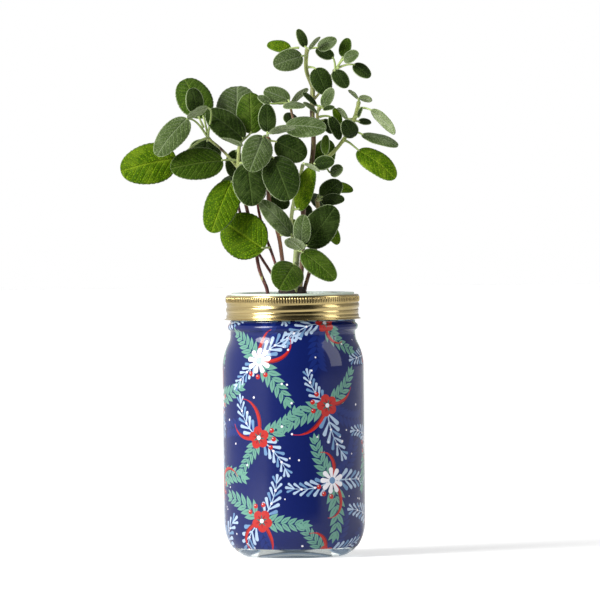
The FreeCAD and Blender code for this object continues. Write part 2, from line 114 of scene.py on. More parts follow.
def lathe(profile, columns, shape=None):
    # Rings of points round the jar's axis. A profile's point on the axis makes a pole, and a profile that
    # starts off the axis is closed.
    points = []
    rings = []
    for index, (radius, height) in enumerate(profile):
        if radius == 0:
            rings.append([len(points)] * columns)
            points.append((0, 0, height))
            continue
        rings.append(range(len(points), len(points) + columns))
        for column in range(columns):
            angle = 2 * math.pi * column / columns
            reach, rise = shape(index, radius, height, angle) if shape else (radius, height)
            points.append((reach * math.cos(angle), reach * math.sin(angle), rise))
    if profile[0][0] > 0:
        rings.append(rings[0])
    faces = []
    for lower, upper in zip(rings, rings[1:]):
        for column in range(columns):
            after = (column + 1) % columns
            corners = [lower[column], lower[after], upper[after], upper[column]]
            faces.append(list(dict.fromkeys(corners)))
    return points, faces


def tube(path, radii, sides):
    points = []
    faces = []
    across = (path[1] - path[0]).orthogonal().normalized()
    for index, (place, radius) in enumerate(zip(path, radii)):
        before, after = path[max(0, index - 1)], path[min(len(path) - 1, index + 1)]
        forward = (after - before).normalized()
        across = (across - forward * across.dot(forward)).normalized()
        other = forward.cross(across)
        for side in range(sides):
            angle = 2 * math.pi * side / sides
            points.append(place + (across * math.cos(angle) + other * math.sin(angle)) * radius)
    for index in range(len(path) - 1):
        for side in range(sides):
            after = (side + 1) % sides
            low, high = index * sides, (index + 1) * sides
            faces.append([low + side, low + after, high + after, high + side])
    faces.append(list(range(sides))[::-1])
    faces.append([(len(path) - 1) * sides + side for side in range(sides)])
    return points, faces


def joined(parts):
    points = []
    faces = []
    for somePoints, someFaces in parts:
        faces += [[index + len(points) for index in face] for face in someFaces]
        points += somePoints
    return points, faces


# Node trees

def add(tree, kind, inputs=(), **settings):
    node = tree.nodes.new(kind)
    for name, value in settings.items():
        setattr(node, name, value)
    for key, value in dict(inputs).items():
        if isinstance(value, bpy.types.NodeSocket):
            tree.links.new(value, node.inputs[key])
        else:
            node.inputs[key].default_value = value
    return node


def calc(tree, operation, *values):
    return add(tree, "ShaderNodeMath", enumerate(values), operation=operation).outputs[0]


def rise(tree, value, low, high):
    # 0 below low, 1 above high, smooth between
    inputs = {"Value": value, "From Min": low, "From Max": high}
    return add(tree, "ShaderNodeMapRange", inputs, interpolation_type="SMOOTHSTEP").outputs[0]


def blendColours(tree, factor, first, second):
    return add(tree, "ShaderNodeMix", {0: factor, 6: first, 7: second}, data_type="RGBA").outputs[2]


def between(tree, share, tints):
    return blendColours(tree, share, *(screen(*tint) for tint in tints))


def clouds(tree, vector, scale, detail=3.0):
    inputs = {"Vector": vector, "Scale": scale, "Detail": detail}
    return add(tree, "ShaderNodeTexNoise", inputs).outputs["Fac"]


def bump(tree, height, distance, strength=1.0):
    inputs = {"Height": height, "Distance": distance * mm, "Strength": strength}
    return add(tree, "ShaderNodeBump", inputs).outputs["Normal"]


def objectCoordinates(tree):
    return add(tree, "ShaderNodeTexCoord").outputs["Object"]


def newMaterial(name, **plain):
    # A material and its shader, with the values that are the same all over
    material = bpy.data.materials.new(name)
    material.use_nodes = True
    tree = material.node_tree
    shader = tree.nodes["Principled BSDF"]
    for label, value in plain.items():
        shader.inputs[label.replace("_", " ")].default_value = value
    return material, tree, shader


def wire(tree, shader, **sockets):
    for label, socket in sockets.items():
        tree.links.new(socket, shader.inputs[label.replace("_", " ")])


def newGroup(name, inputs, outputs):
    group = bpy.data.node_groups.new(name, "ShaderNodeTree")
    for label, kind in inputs:
        group.interface.new_socket(label, in_out="INPUT", socket_type="NodeSocket" + kind)
    for label in outputs:
        group.interface.new_socket(label, in_out="OUTPUT", socket_type="NodeSocketFloat")
    return group, group.nodes.new("NodeGroupInput").outputs, group.nodes.new("NodeGroupOutput").inputs


def grainGroup():
    # Broad and fine mottling of one surface, shared by glass, film, metal, plastic, rubber, stems and fibre
    inputs = [("Position", "Vector"), ("Broad Scale", "Float"), ("Fine Scale", "Float")]
    group, given, made = newGroup("grain", inputs, ["Broad", "Fine"])
    group.links.new(clouds(group, given["Position"], given["Broad Scale"]), made["Broad"])
    group.links.new(clouds(group, given["Position"], given["Fine Scale"], 5.0), made["Fine"])
    return group


grain = grainGroup()


def grained(tree, broadScale, fineScale, stretch=(1, 1, 1)):
    place = add(tree, "ShaderNodeMapping", {"Vector": objectCoordinates(tree), "Scale": stretch}).outputs[0]
    inputs = {"Position": place, "Broad Scale": broadScale, "Fine Scale": fineScale}
    made = add(tree, "ShaderNodeGroup", inputs, node_tree=grain).outputs
    return made["Broad"], made["Fine"]


def mixSurface(tree, share, shader, other):
    # A share of another shader over the material's own
    mixed = add(tree, "ShaderNodeMixShader", {0: share, 1: shader.outputs[0], 2: other.outputs[0]})
    tree.links.new(mixed.outputs[0], tree.nodes["Material Output"].inputs["Surface"])


def pastGlass(tree, path):
    # 1 for light that has been in glass, 0 for the rest
    return calc(tree, "GREATER_THAN", path.outputs["Transmission Depth"], 0.5)


def newGeometryTree(name, inputs, output):
    # A tree, its inputs' sockets, and the identifiers that a modifier sets them by
    tree = bpy.data.node_groups.new(name, "GeometryNodeTree")
    keys = {}
    for label, kind in inputs:
        socket = tree.interface.new_socket(label, in_out="INPUT", socket_type="NodeSocket" + kind)
        keys[label] = socket.identifier
    tree.interface.new_socket(output, in_out="OUTPUT", socket_type="NodeSocketGeometry")
    return tree, tree.nodes.new("NodeGroupInput").outputs, keys


def endTree(tree, copies, material):
    solid = add(tree, "GeometryNodeRealizeInstances", {"Geometry": copies.outputs["Instances"]})
    done = add(tree, "GeometryNodeSetMaterial", {"Geometry": solid.outputs[0], "Material": material})
    tree.links.new(done.outputs[0], tree.nodes.new("NodeGroupOutput").inputs[0])


def grown(work, tree, keys, values, name):
    modifier = work.modifiers.new(tree.name, "NODES")
    modifier.node_group = tree
    for label, value in values.items():
        modifier[keys[label]] = value
    return evaluated(work, name)


# Camera, light and floor

view = {
    "lens": 540.0, "sensor": 36, "distance": 6107.0, "height": 306.8, "across": 5.09, "pitch": 1.2476,
    "roll": 0.6,
}


def placeCamera():
    camera = bpy.data.objects.new("camera", bpy.data.cameras.new("camera"))
    camera.data.lens = view["lens"]
    camera.data.sensor_width = view["sensor"]
    pitch = Matrix.Rotation(math.radians(90 - view["pitch"]), 4, "X")
    turn = pitch @ Matrix.Rotation(-math.radians(view["roll"]), 4, "Z")
    place = Vector((view["across"], -view["distance"], view["height"]))
    camera.matrix_world = Matrix.Translation(place * mm) @ turn
    bpy.context.scene.collection.objects.link(camera)
    bpy.context.scene.camera = camera


lamps = {
    "leftPanel": {"place": (-900, -650, 700), "size": (420, 760), "watts": 9.0},
    "rightPanel": {"place": (1100, -300, 600), "size": (500, 900), "watts": 4.0},
}
sun = {"azimuth": 213, "height": 26, "softness": 34, "strength": 3.4, "distance": 2000}
jarLamp = {"watts": 0.03, "radius": 12, "height": 62}
aimHeight = 170
# Strengths on plain surfaces, in glass and in mirror-like surfaces, and the angles from the front, in
# degrees, at which the bright sides start and are full
daylight = {
    "onSurfaces": 0.42, "inGlass": 0.55, "front": 0.03, "left": 0.8, "right": 0.34,
    "leftStart": -22, "leftFull": -44, "rightStart": 38, "rightFull": 66,
}


def placeLamps():
    for name, lamp in lamps.items():
        light = bpy.data.lights.new(name, "AREA")
        light.shape = "RECTANGLE"
        light.size, light.size_y = (side * mm for side in lamp["size"])
        light.energy = lamp["watts"]
        aim(name, light, Vector(lamp["place"]))
    light = bpy.data.lights.new("sun", "SUN")
    light.angle = math.radians(sun["softness"])
    light.energy = sun["strength"]
    level, turn = math.radians(sun["height"]), math.radians(sun["azimuth"])
    reach = Vector((math.cos(turn) * math.cos(level), math.sin(turn) * math.cos(level), math.sin(level)))
    aim("sun", light, reach * sun["distance"])
    # Daylight that the film lets into the jar
    light = bpy.data.lights.new("insideJar", "POINT")
    light.energy = jarLamp["watts"]
    light.shadow_soft_size = jarLamp["radius"] * mm
    holder = bpy.data.objects.new("insideJar", light)
    holder.location = (0, 0, jarLamp["height"] * mm)
    holder.visible_transmission = False
    bpy.context.scene.collection.objects.link(holder)


def aim(name, light, place):
    holder = bpy.data.objects.new(name, light)
    turn = (Vector((0, 0, aimHeight)) - place).normalized().to_track_quat("-Z", "Y").to_matrix().to_4x4()
    holder.matrix_world = Matrix.Translation(place * mm) @ turn
    bpy.context.scene.collection.objects.link(holder)


def makeDaylight():
    # White to the camera and even on surfaces. Mirror-like surfaces see a dark studio with brighter sides.
    world = bpy.data.worlds.new("daylight")
    bpy.context.scene.world = world
    world.use_nodes = True
    tree = world.node_tree
    path = add(tree, "ShaderNodeLightPath")
    direction = add(tree, "ShaderNodeSeparateXYZ", {0: add(tree, "ShaderNodeTexCoord").outputs["Generated"]})
    turn = calc(tree, "ARCTAN2", direction.outputs["X"], calc(tree, "MULTIPLY", direction.outputs["Y"], -1.0))
    leftFull, leftStart = math.radians(daylight["leftFull"]), math.radians(daylight["leftStart"])
    left = calc(tree, "SUBTRACT", 1.0, rise(tree, turn, leftFull, leftStart))
    right = rise(tree, turn, math.radians(daylight["rightStart"]), math.radians(daylight["rightFull"]))
    front = daylight["front"]
    mirrored = calc(tree, "MULTIPLY_ADD", left, daylight["left"] - front, front)
    mirrored = calc(tree, "MULTIPLY_ADD", right, daylight["right"] - front, mirrored)
    inGlass = pastGlass(tree, path)
    glossy = calc(tree, "MULTIPLY", path.outputs["Is Glossy Ray"], calc(tree, "SUBTRACT", 1.0, inGlass))
    seen = calc(tree, "MAXIMUM", path.outputs["Is Camera Ray"], inGlass)
    other = calc(tree, "SUBTRACT", 1.0, calc(tree, "MAXIMUM", seen, glossy))
    strength = calc(tree, "MINIMUM", calc(tree, "MULTIPLY_ADD", glossy, mirrored, seen), 1.0)
    strength = calc(tree, "MULTIPLY_ADD", other, daylight["onSurfaces"], strength)
    dim = calc(tree, "MULTIPLY_ADD", inGlass, daylight["inGlass"] - 1, 1.0)
    tree.links.new(calc(tree, "MULTIPLY", strength, dim), tree.nodes["Background"].inputs["Strength"])
    tree.nodes["Background"].inputs["Color"].default_value = (1, 1, 1, 1)


# Brightness of the paper and of the dark that mirror-like surfaces see in it, which starts in front, in
# metres, and ends at a slope to the sides. Then the paper's glow, and its share to the camera and in glass.
paper = {
    "reach": 9000, "level": -0.03, "white": 0.9, "dark": 0.04, "frontStart": 0.1, "frontFull": 0.5,
    "sideStart": 0.6, "sideFull": 1.2, "glow": 2.08, "glowSeen": 0.22, "glowInGlass": 0.26,
}


def makeFloor():
    # White paper that keeps its shadow
    material, tree, shader = newMaterial("floorPaper", Roughness=0.9)
    path = add(tree, "ShaderNodeLightPath")
    place = add(tree, "ShaderNodeSeparateXYZ", {0: objectCoordinates(tree)}).outputs
    front = rise(tree, calc(tree, "MULTIPLY", place["Y"], -1.0), paper["frontStart"], paper["frontFull"])
    slope = calc(tree, "ABSOLUTE", calc(tree, "DIVIDE", place["X"], place["Y"]))
    beside = rise(tree, slope, paper["sideStart"], paper["sideFull"])
    inGlass = pastGlass(tree, path)
    dark = calc(tree, "MULTIPLY", front, calc(tree, "SUBTRACT", 1.0, beside))
    dark = calc(tree, "MULTIPLY", dark, path.outputs["Is Glossy Ray"])
    dark = calc(tree, "MULTIPLY", dark, calc(tree, "SUBTRACT", 1.0, inGlass))
    white, black = ((paper[tone],) * 3 + (1,) for tone in ("white", "dark"))
    wire(tree, shader, Base_Color=blendColours(tree, dark, white, black))
    share = calc(tree, "MULTIPLY", path.outputs["Is Camera Ray"], paper["glowSeen"])
    share = calc(tree, "MULTIPLY_ADD", inGlass, paper["glowInGlass"], share)
    glow = add(tree, "ShaderNodeEmission", {"Color": (1, 1, 1, 1), "Strength": paper["glow"]})
    mixSurface(tree, share, shader, glow)
    reach = paper["reach"]
    signs = ((-1, -1), (1, -1), (1, 1), (-1, 1))
    corners = [(reach * x, reach * y, paper["level"]) for x, y in signs]
    makePiece("floor", corners, [[0, 1, 2, 3]], [material])


# Glass jar

jar = {
    "neck": 42.0, "body": 47.5, "foot": 30.0, "footRing": 4.0, "footEdge": 0.4, "footEdgeRise": 0.15,
    "pushUp": 3.5, "floor": 9.5, "heel": 24.0, "shoulderRadius": 34.0, "neckFillet": 12.8,
    "neckBelowBead": 3.0, "bodyWall": 3.4, "neckWall": 3.8, "bead": 1.8, "beadWidth": 4.6,
    "beadBelowRim": 19.3, "rim": 1.0, "columns": 160, "bodyRows": 6,
}
jar["top"] = round(nodeBox("glass_jar")[1].z, 3)


def bow(centre, radius, start, end, steps):
    turns = [start + (end - start) * step / steps for step in range(steps + 1)]
    return [(centre[0] + radius * math.cos(turn), centre[1] + radius * math.sin(turn)) for turn in turns]


def heelCurve(inner, low, outer, high, steps=14):
    wide, tall = outer - inner, high - low
    turns = [math.pi / 2 * step / steps for step in range(steps + 1)]
    return [(inner + wide * math.sin(turn), high - tall * math.cos(turn)) for turn in turns]


def shoulderCurve(body, neck, convex, concave, base):
    turn = math.acos(1 - (body - neck) / (convex + concave))
    top = base + (convex + concave) * math.sin(turn)
    lower = bow((body - convex, base), convex, 0, turn, steps=8)
    return lower + bow((neck + concave, top), concave, math.pi + turn, math.pi, steps=5)[1:]


def shoulderBase():
    turn = math.acos(1 - (jar["body"] - jar["neck"]) / (jar["shoulderRadius"] + jar["neckFillet"]))
    climb = (jar["shoulderRadius"] + jar["neckFillet"]) * math.sin(turn)
    return jar["top"] - jar["beadBelowRim"] - jar["beadWidth"] / 2 - jar["neckBelowBead"] - climb


def outerSkin(offset, top):
    # The body's outline from the foot to the neck, this far outside the glass
    body, neck = jar["body"] + offset, jar["neck"] + offset
    base, heel, rows = shoulderBase(), jar["heel"], jar["bodyRows"]
    middle = jar["top"] - jar["beadBelowRim"]
    half = jar["beadWidth"] / 2 + offset
    radius = (half**2 + jar["bead"] ** 2) / 2 / jar["bead"]
    turn = math.asin(half / radius)
    skin = heelCurve(jar["foot"], -offset, body, heel)
    skin += [(body, heel + (base - heel) * step / rows) for step in range(1, rows)]
    skin += shoulderCurve(body, neck, jar["shoulderRadius"] + offset, jar["neckFillet"] - offset, base)
    skin += bow((neck + jar["bead"] - radius, middle), radius, -turn, turn, steps=8)
    return skin + [(neck, top)]


def makeGlassJar(material):
    body, mouth = jar["body"] - jar["bodyWall"], jar["neck"] - jar["neckWall"]
    foot, ring, edge = jar["foot"], jar["foot"] - jar["footRing"], jar["footEdge"]
    rim, top = jar["rim"], jar["top"]
    dome = (ring**2 + jar["pushUp"] ** 2) / 2 / jar["pushUp"]
    turn = math.asin(ring / dome)
    profile = bow((0, jar["pushUp"] - dome), dome, math.pi / 2, math.pi / 2 - turn, steps=12)[:-1]
    profile[0] = (0, jar["pushUp"])
    profile += [(ring, jar["footEdgeRise"]), (ring + edge, 0), (foot - edge, 0)]
    profile += outerSkin(0, top - rim)
    profile += bow((jar["neck"] - rim, top - rim), rim, 0, math.pi / 2, steps=4)[1:]
    profile += bow((mouth + rim, top - rim), rim, math.pi / 2, math.pi, steps=4)
    convex, concave = jar["shoulderRadius"] - jar["bodyWall"], jar["neckFillet"] + jar["neckWall"]
    profile += shoulderCurve(body, mouth, convex, concave, shoulderBase())[::-1]
    profile += heelCurve(foot, jar["floor"], body, jar["heel"])[::-1]
    profile += [(foot / 2, jar["floor"]), (0, jar["floor"])]
    points, faces = lathe(profile, jar["columns"])
    return makePiece("glassJar", points, faces, [material])


# "Grain" holds a finish's broad and fine scales, and "ripple" the depth and the strength of its bump. Light
# is late after more bounces than "lateBounce".
glassLook = {
    "tints": ((247, 252, 250), (238, 248, 246)), "grain": (25, 120), "ripple": (0.25, 0.4),
    "shadowTint": (0.92, 0.95, 0.94, 1), "shadowShare": 0.9, "lateTint": (0.5, 0.54, 0.55, 1),
    "lateBounce": 4.5,
}


def glassMaterial():
    material, tree, shader = newMaterial("clearGlass", Roughness=0.015, IOR=1.5, Transmission_Weight=1.0)
    broad, _ = grained(tree, *glassLook["grain"])
    wire(tree, shader, Base_Color=between(tree, broad, glassLook["tints"]),
         Normal=bump(tree, broad, *glassLook["ripple"]))
    # Shadow rays pass the glass, and light that has wandered in it for long leaves it dimmed
    path = add(tree, "ShaderNodeLightPath")
    late = calc(tree, "GREATER_THAN", path.outputs["Ray Depth"], glassLook["lateBounce"])
    tint = blendColours(tree, late, glassLook["shadowTint"], glassLook["lateTint"])
    shadow = calc(tree, "MULTIPLY", path.outputs["Is Shadow Ray"], glassLook["shadowShare"])
    clear = add(tree, "ShaderNodeBsdfTransparent", {"Color": tint})
    mixSurface(tree, calc(tree, "MAXIMUM", late, shadow), shader, clear)
    return material


# Printed sleeve

sleeve = {
    "gap": 0.05, "thickness": 0.3, "columns": 120, "seamTurn": math.pi / 2, "merge": 0.002,
    "colours": {
        "navy": (6, 20, 76), "dusk": (14, 32, 94), "green": (87, 132, 117), "deepGreen": (34, 78, 76),
        "pale": (146, 165, 186), "blue": (90, 122, 156), "red": (156, 32, 28), "deepRed": (112, 19, 22),
        "white": (202, 200, 205),
    },
}
sleeve["bottom"], sleeve["top"] = nodeBox("printed_sleeve")[0].z, nodeBox("printed_sleeve")[1].z
rollWidth = 2 * math.pi * (jar["body"] + sleeve["gap"] + sleeve["thickness"])


def skinLengths(skin):
    lengths = [0.0]
    for (r0, z0), (r1, z1) in zip(skin, skin[1:]):
        lengths.append(lengths[-1] + math.hypot(r1 - r0, z1 - z0))
    return lengths


def sleeveSkin():
    # The film's outer outline from its lower edge up
    skin = outerSkin(sleeve["gap"] + sleeve["thickness"], sleeve["top"])
    for index, (low, high) in enumerate(zip(skin, skin[1:])):
        if low[1] < sleeve["bottom"] <= high[1]:
            share = (sleeve["bottom"] - low[1]) / (high[1] - low[1])
            start = (low[0] + (high[0] - low[0]) * share, sleeve["bottom"])
            return [start] + skin[index + 1:]


def turned(points, origin, angle):
    cosine, sine = math.cos(angle), math.sin(angle)
    return [(origin[0] + (x * cosine - y * sine), origin[1] + (x * sine + y * cosine)) for x, y in points]


lobes = {"leafBlunt": 0.8, "petalFoot": 0.12, "twigTaper": 0.7}


def printLeaf(length, width, steps=6):
    # Pointed at both ends, and fuller towards its stalk
    upper = []
    for step in range(1, steps):
        swell = math.sin(math.pi * (step / steps) ** lobes["leafBlunt"])
        upper.append((length * step / steps, width / 2 * swell))
    return [(0, 0)] + [(x, -y) for x, y in upper] + [(length, 0)] + upper[::-1]


def printPetal(length, width, steps=10):
    # A lobe that starts narrow and ends round
    shape = []
    for step in range(steps + 1):
        turn = math.pi * (step / steps - 0.5)
        shape.append((length - width / 2 + width / 2 * math.cos(turn), width / 2 * math.sin(turn)))
    foot = lobes["petalFoot"] * width
    return [(0, -foot)] + shape + [(0, foot)]


def printDot(radius, steps=14):
    turns = [2 * math.pi * step / steps for step in range(steps)]
    return [(radius * math.cos(turn), radius * math.sin(turn)) for turn in turns]


def ribbon(stations, halves):
    # The two sides of a line with these places, headings and half widths
    low, high = [], []
    for (x, y, heading), half in zip(stations, halves):
        low.append((x + math.sin(heading) * half, y - math.cos(heading) * half))
        high.append((x - math.sin(heading) * half, y + math.cos(heading) * half))
    return low, high


def twig(origin, angle, length, bend, width, steps=8):
    # A bent stalk as an outline, with the places and headings along it
    x, y = origin
    stations = []
    for step in range(steps + 1):
        heading = angle + bend * (step / steps - 0.5)
        stations.append((x, y, heading))
        x += math.cos(heading) * length / steps
        y += math.sin(heading) * length / steps
    halves = [width / 2 * (1 - lobes["twigTaper"] * step / steps) for step in range(steps + 1)]
    low, high = ribbon(stations, halves)
    return low + high[::-1], stations


# A leaf's length is a share of the sprig's, and its width one of its own length. Stalk, back, veinWide and
# dot are millimetres. "Less" is what each step up the stalk takes away, and leans are radians.
spray = {
    "stalk": 0.9, "leaf": 0.34, "less": 0.02, "wide": 0.38, "lean": 0.75, "leanLess": 0.04, "back": 0.4,
    "vein": 0.72, "veinWide": 0.42, "tip": 0.27, "tipWide": 0.1,
}
frond = {
    "stalk": 1.1, "leaf": 0.34, "less": 0.025, "wide": 0.27, "lean": 0.7, "leanLess": 0.03, "dot": 0.85,
    "dotLean": 0.5, "tip": 0.24, "tipWide": 0.07,
}


def greenSpray(shapes, origin, angle, size, bend):
    stalk, stations = twig(origin, angle, size, bend, spray["stalk"], 6)
    shapes.append(("deepGreen", stalk))
    for step, (x, y, heading) in enumerate(stations[1:]):
        length = size * (spray["leaf"] - spray["less"] * step)
        for side in (1, -1):
            lean = heading + side * (spray["lean"] - spray["leanLess"] * step)
            back = side * spray["back"]
            start = (x - back * math.cos(heading), y - back * math.sin(heading))
            vein = printLeaf(length * spray["vein"], spray["veinWide"], 2)
            shapes.append(("green", turned(printLeaf(length, length * spray["wide"], 8), start, lean)))
            shapes.append(("deepGreen", turned(vein, start, lean)))
    x, y, heading = stations[-1]
    tip = printLeaf(size * spray["tip"], size * spray["tipWide"], 8)
    shapes.append(("green", turned(tip, (x, y), heading)))


def paleFrond(shapes, origin, angle, size, bend):
    stalk, stations = twig(origin, angle, size, bend, frond["stalk"], 6)
    shapes.append(("pale", stalk))
    for step, (x, y, heading) in enumerate(stations[1:]):
        length = size * (frond["leaf"] - frond["less"] * step)
        for side in (1, -1):
            lean = heading + side * (frond["lean"] - frond["leanLess"] * step)
            colour = "blue" if (step + (side > 0)) % 3 == 0 else "pale"
            shapes.append((colour, turned(printPetal(length, length * frond["wide"], 8), (x, y), lean)))
            if step % 2 == 0:
                shapes.append(("white", turned(printDot(frond["dot"], 10), (x, y), lean + frond["dotLean"])))
    x, y, heading = stations[-1]
    tip = printPetal(size * frond["tip"], size * frond["tipWide"], 8)
    shapes.append(("pale", turned(tip, (x, y), heading)))


swirl = {
    "steps": 16, "half": 1.15, "least": 0.25, "start": 0.12, "curl": 0.3, "moreCurl": 1.4, "foldFrom": 3,
    "foldTo": 13,
}


def redSwirl(shapes, origin, angle, size, bend):
    # A band that curls round ever tighter, with a darker line for its fold
    x, y, heading = *origin, angle
    steps = swirl["steps"]
    stations, halves = [], []
    for step in range(steps + 1):
        stations.append((x, y, heading))
        swell = math.sin(math.pi * min(1, swirl["start"] + step / steps))
        halves.append(swirl["half"] * swell + swirl["least"])
        heading += bend * (swirl["curl"] + swirl["moreCurl"] * step / steps) / steps
        x += math.cos(heading) * size / steps
        y += math.sin(heading) * size / steps
    low, high = ribbon(stations, halves)
    shapes.append(("red", low + high[::-1]))
    fold = [((a[0] * 2 + b[0]) / 3, (a[1] * 2 + b[1]) / 3) for a, b in zip(low, high)]
    inner, outer = (line[swirl["foldFrom"]:swirl["foldTo"]] for line in (low, fold))
    shapes.append(("deepRed", inner + outer[::-1]))


# Shares of the flower's or the sprig's size
flower = {
    "petals": 5, "petal": 0.52, "petalWide": 0.44, "fold": 0.34, "foldWide": 0.07, "sepal": 0.3,
    "sepalWide": 0.09, "heart": 0.1,
}
daisy = {"petals": 9, "petal": 0.5, "petalWide": 0.19, "heart": 0.13}
berries = {
    "leans": (-0.6, 0.0, 0.6), "bend": 0.8, "stalk": 0.6, "berry": 0.15, "shine": 0.035, "shineOff": 0.05,
}


def redFlower(shapes, origin, angle, size):
    count = flower["petals"]
    leans = [angle + 2 * math.pi * petal / count for petal in range(count)]
    petal = printPetal(size * flower["petal"], size * flower["petalWide"])
    for lean in leans:
        shapes.append(("red", turned(petal, origin, lean)))
    fold = printLeaf(size * flower["fold"], size * flower["foldWide"], 3)
    sepal = printLeaf(size * flower["sepal"], size * flower["sepalWide"], 3)
    for lean in leans:
        shapes.append(("deepRed", turned(fold, origin, lean)))
        shapes.append(("deepGreen", turned(sepal, origin, lean + math.pi / count)))
    shapes.append(("white", turned(printDot(size * flower["heart"]), origin, 0)))


def whiteDaisy(shapes, origin, angle, size):
    petal = printPetal(size * daisy["petal"], size * daisy["petalWide"], 6)
    for turn in range(daisy["petals"]):
        shapes.append(("white", turned(petal, origin, angle + 2 * math.pi * turn / daisy["petals"])))
    shapes.append(("blue", turned(printDot(size * daisy["heart"]), origin, 0)))


def redBerries(shapes, origin, angle, size):
    off = size * berries["shineOff"]
    for lean in berries["leans"]:
        stalk, stations = twig(origin, angle + lean, size, lean * berries["bend"], berries["stalk"], 5)
        x, y, _ = stations[-1]
        shapes.append(("deepGreen", stalk))
        shapes.append(("red", turned(printDot(size * berries["berry"]), (x, y), 0)))
        shapes.append(("white", turned(printDot(size * berries["shine"], 6), (x - off, y + off), 0)))


# Bunches round flowers on a half-drop grid. A sprig has its kind, its turn, its length, what may be added to
# it and how far it may bend. A swirl has its side, turn and length, and its least and most bend.
layout = {
    "seed": 23, "columns": 6, "rows": 3, "stepUp": 54.0, "firstUp": 20, "moveAcross": 2, "moveUp": 3,
    "sprigs": ((greenSpray, 0, 31, 5, 0.9), (greenSpray, 3.5, 27, 4, 0.8),
               (paleFrond, 1.5, 30, 5, 0.9), (paleFrond, 4.8, 25, 4, 0.8)),
    "shorter": -2, "swirls": ((1, 0.75, 34, 1.4, 2.6), (-1, 2.7, 26, 1.2, 2.2)),
    "shadeTurn": 2.4, "shade": (32, 0.8, 1.0), "shadeLeaf": (9, 3.2), "shadeLean": 0.8,
    "berriesTurn": 5.6, "berries": 11, "flower": 15, "daisy": 18,
    "dots": 6, "dotReach": (18, 28), "dotRadius": (0.5, 0.9), "spin": (0, 6.28), "flowerSpin": (0, 6),
}


def printShapes():
    # Later shapes lie over earlier ones
    chance = random.Random(layout["seed"])
    ground, shapes, front = [], [], []
    stepAcross, stepUp = rollWidth / layout["columns"], layout["stepUp"]
    for column in range(layout["columns"]):
        for row in range(-1, layout["rows"] + 1):
            drop = stepUp / 2 if column % 2 else 0
            x = (column + 0.5) * stepAcross + chance.uniform(-layout["moveAcross"], layout["moveAcross"])
            y = layout["firstUp"] + row * stepUp + drop + chance.uniform(-layout["moveUp"], layout["moveUp"])
            turn = chance.uniform(*layout["spin"])
            _, shade = twig((x, y), turn + layout["shadeTurn"], *layout["shade"])
            leaf = printLeaf(*layout["shadeLeaf"])
            for *place, heading in shade[1:]:
                for lean in (layout["shadeLean"], -layout["shadeLean"]):
                    ground.append(("dusk", turned(leaf, place, heading + lean)))
            for kind, lean, size, more, bend in layout["sprigs"]:
                length = size + chance.uniform(layout["shorter"], more)
                kind(shapes, (x, y), turn + lean, length, chance.uniform(-bend, bend))
            side = chance.choice((-1, 1))
            for hand, lean, size, least, most in layout["swirls"]:
                redSwirl(front, (x, y), turn + lean, size, hand * side * chance.uniform(least, most))
            redBerries(front, (x, y), turn + layout["berriesTurn"], layout["berries"])
            if (column + 2 * row) % 3:
                redFlower(front, (x, y), chance.uniform(*layout["flowerSpin"]), layout["flower"])
            else:
                whiteDaisy(front, (x, y), chance.uniform(*layout["flowerSpin"]), layout["daisy"])
            for _ in range(layout["dots"]):
                angle, reach = chance.uniform(*layout["spin"]), chance.uniform(*layout["dotReach"])
                dot = (x + reach * math.cos(angle), y + reach * math.sin(angle))
                front.append(("white", turned(printDot(chance.uniform(*layout["dotRadius"]), 10), dot, 0)))
    return ground + shapes + front


def skinNormals(skin, mesh):
    # True normals of the turned shape, so that reflections run smooth over the print's triangles
    slopes = []
    for low, high in zip(skin, skin[1:]):
        run, climb = high[0] - low[0], high[1] - low[1]
        slopes.append(Vector((climb, -run)).normalized())
    slopes = [slopes[0]] + [(a + b).normalized() for a, b in zip(slopes, slopes[1:])] + [slopes[-1]]
    normals = []
    for vert in mesh.vertices:
        x, y, z = vert.co / mm
        radius = math.hypot(x, y)
        index = 0
        while index < len(skin) - 2 and skin[index + 1][1] < z:
            index += 1
        (r0, z0), (r1, z1) = skin[index], skin[index + 1]
        share = max(0, min(1, (z - z0) / (z1 - z0)))
        slope = slopes[index] * (1 - share) + slopes[index + 1] * share
        outward = 1 if radius > r0 + (r1 - r0) * share - sleeve["thickness"] / 2 else -1
        normals.append(Vector((x / radius * slope.x, y / radius * slope.x, slope.y)).normalized() * outward)
    mesh.normals_split_custom_set_from_vertices(normals)


def touches(outline, width, height):
    across, along = zip(*outline)
    return max(across) > 0 and min(across) < width and max(along) > 0 and min(along) < height


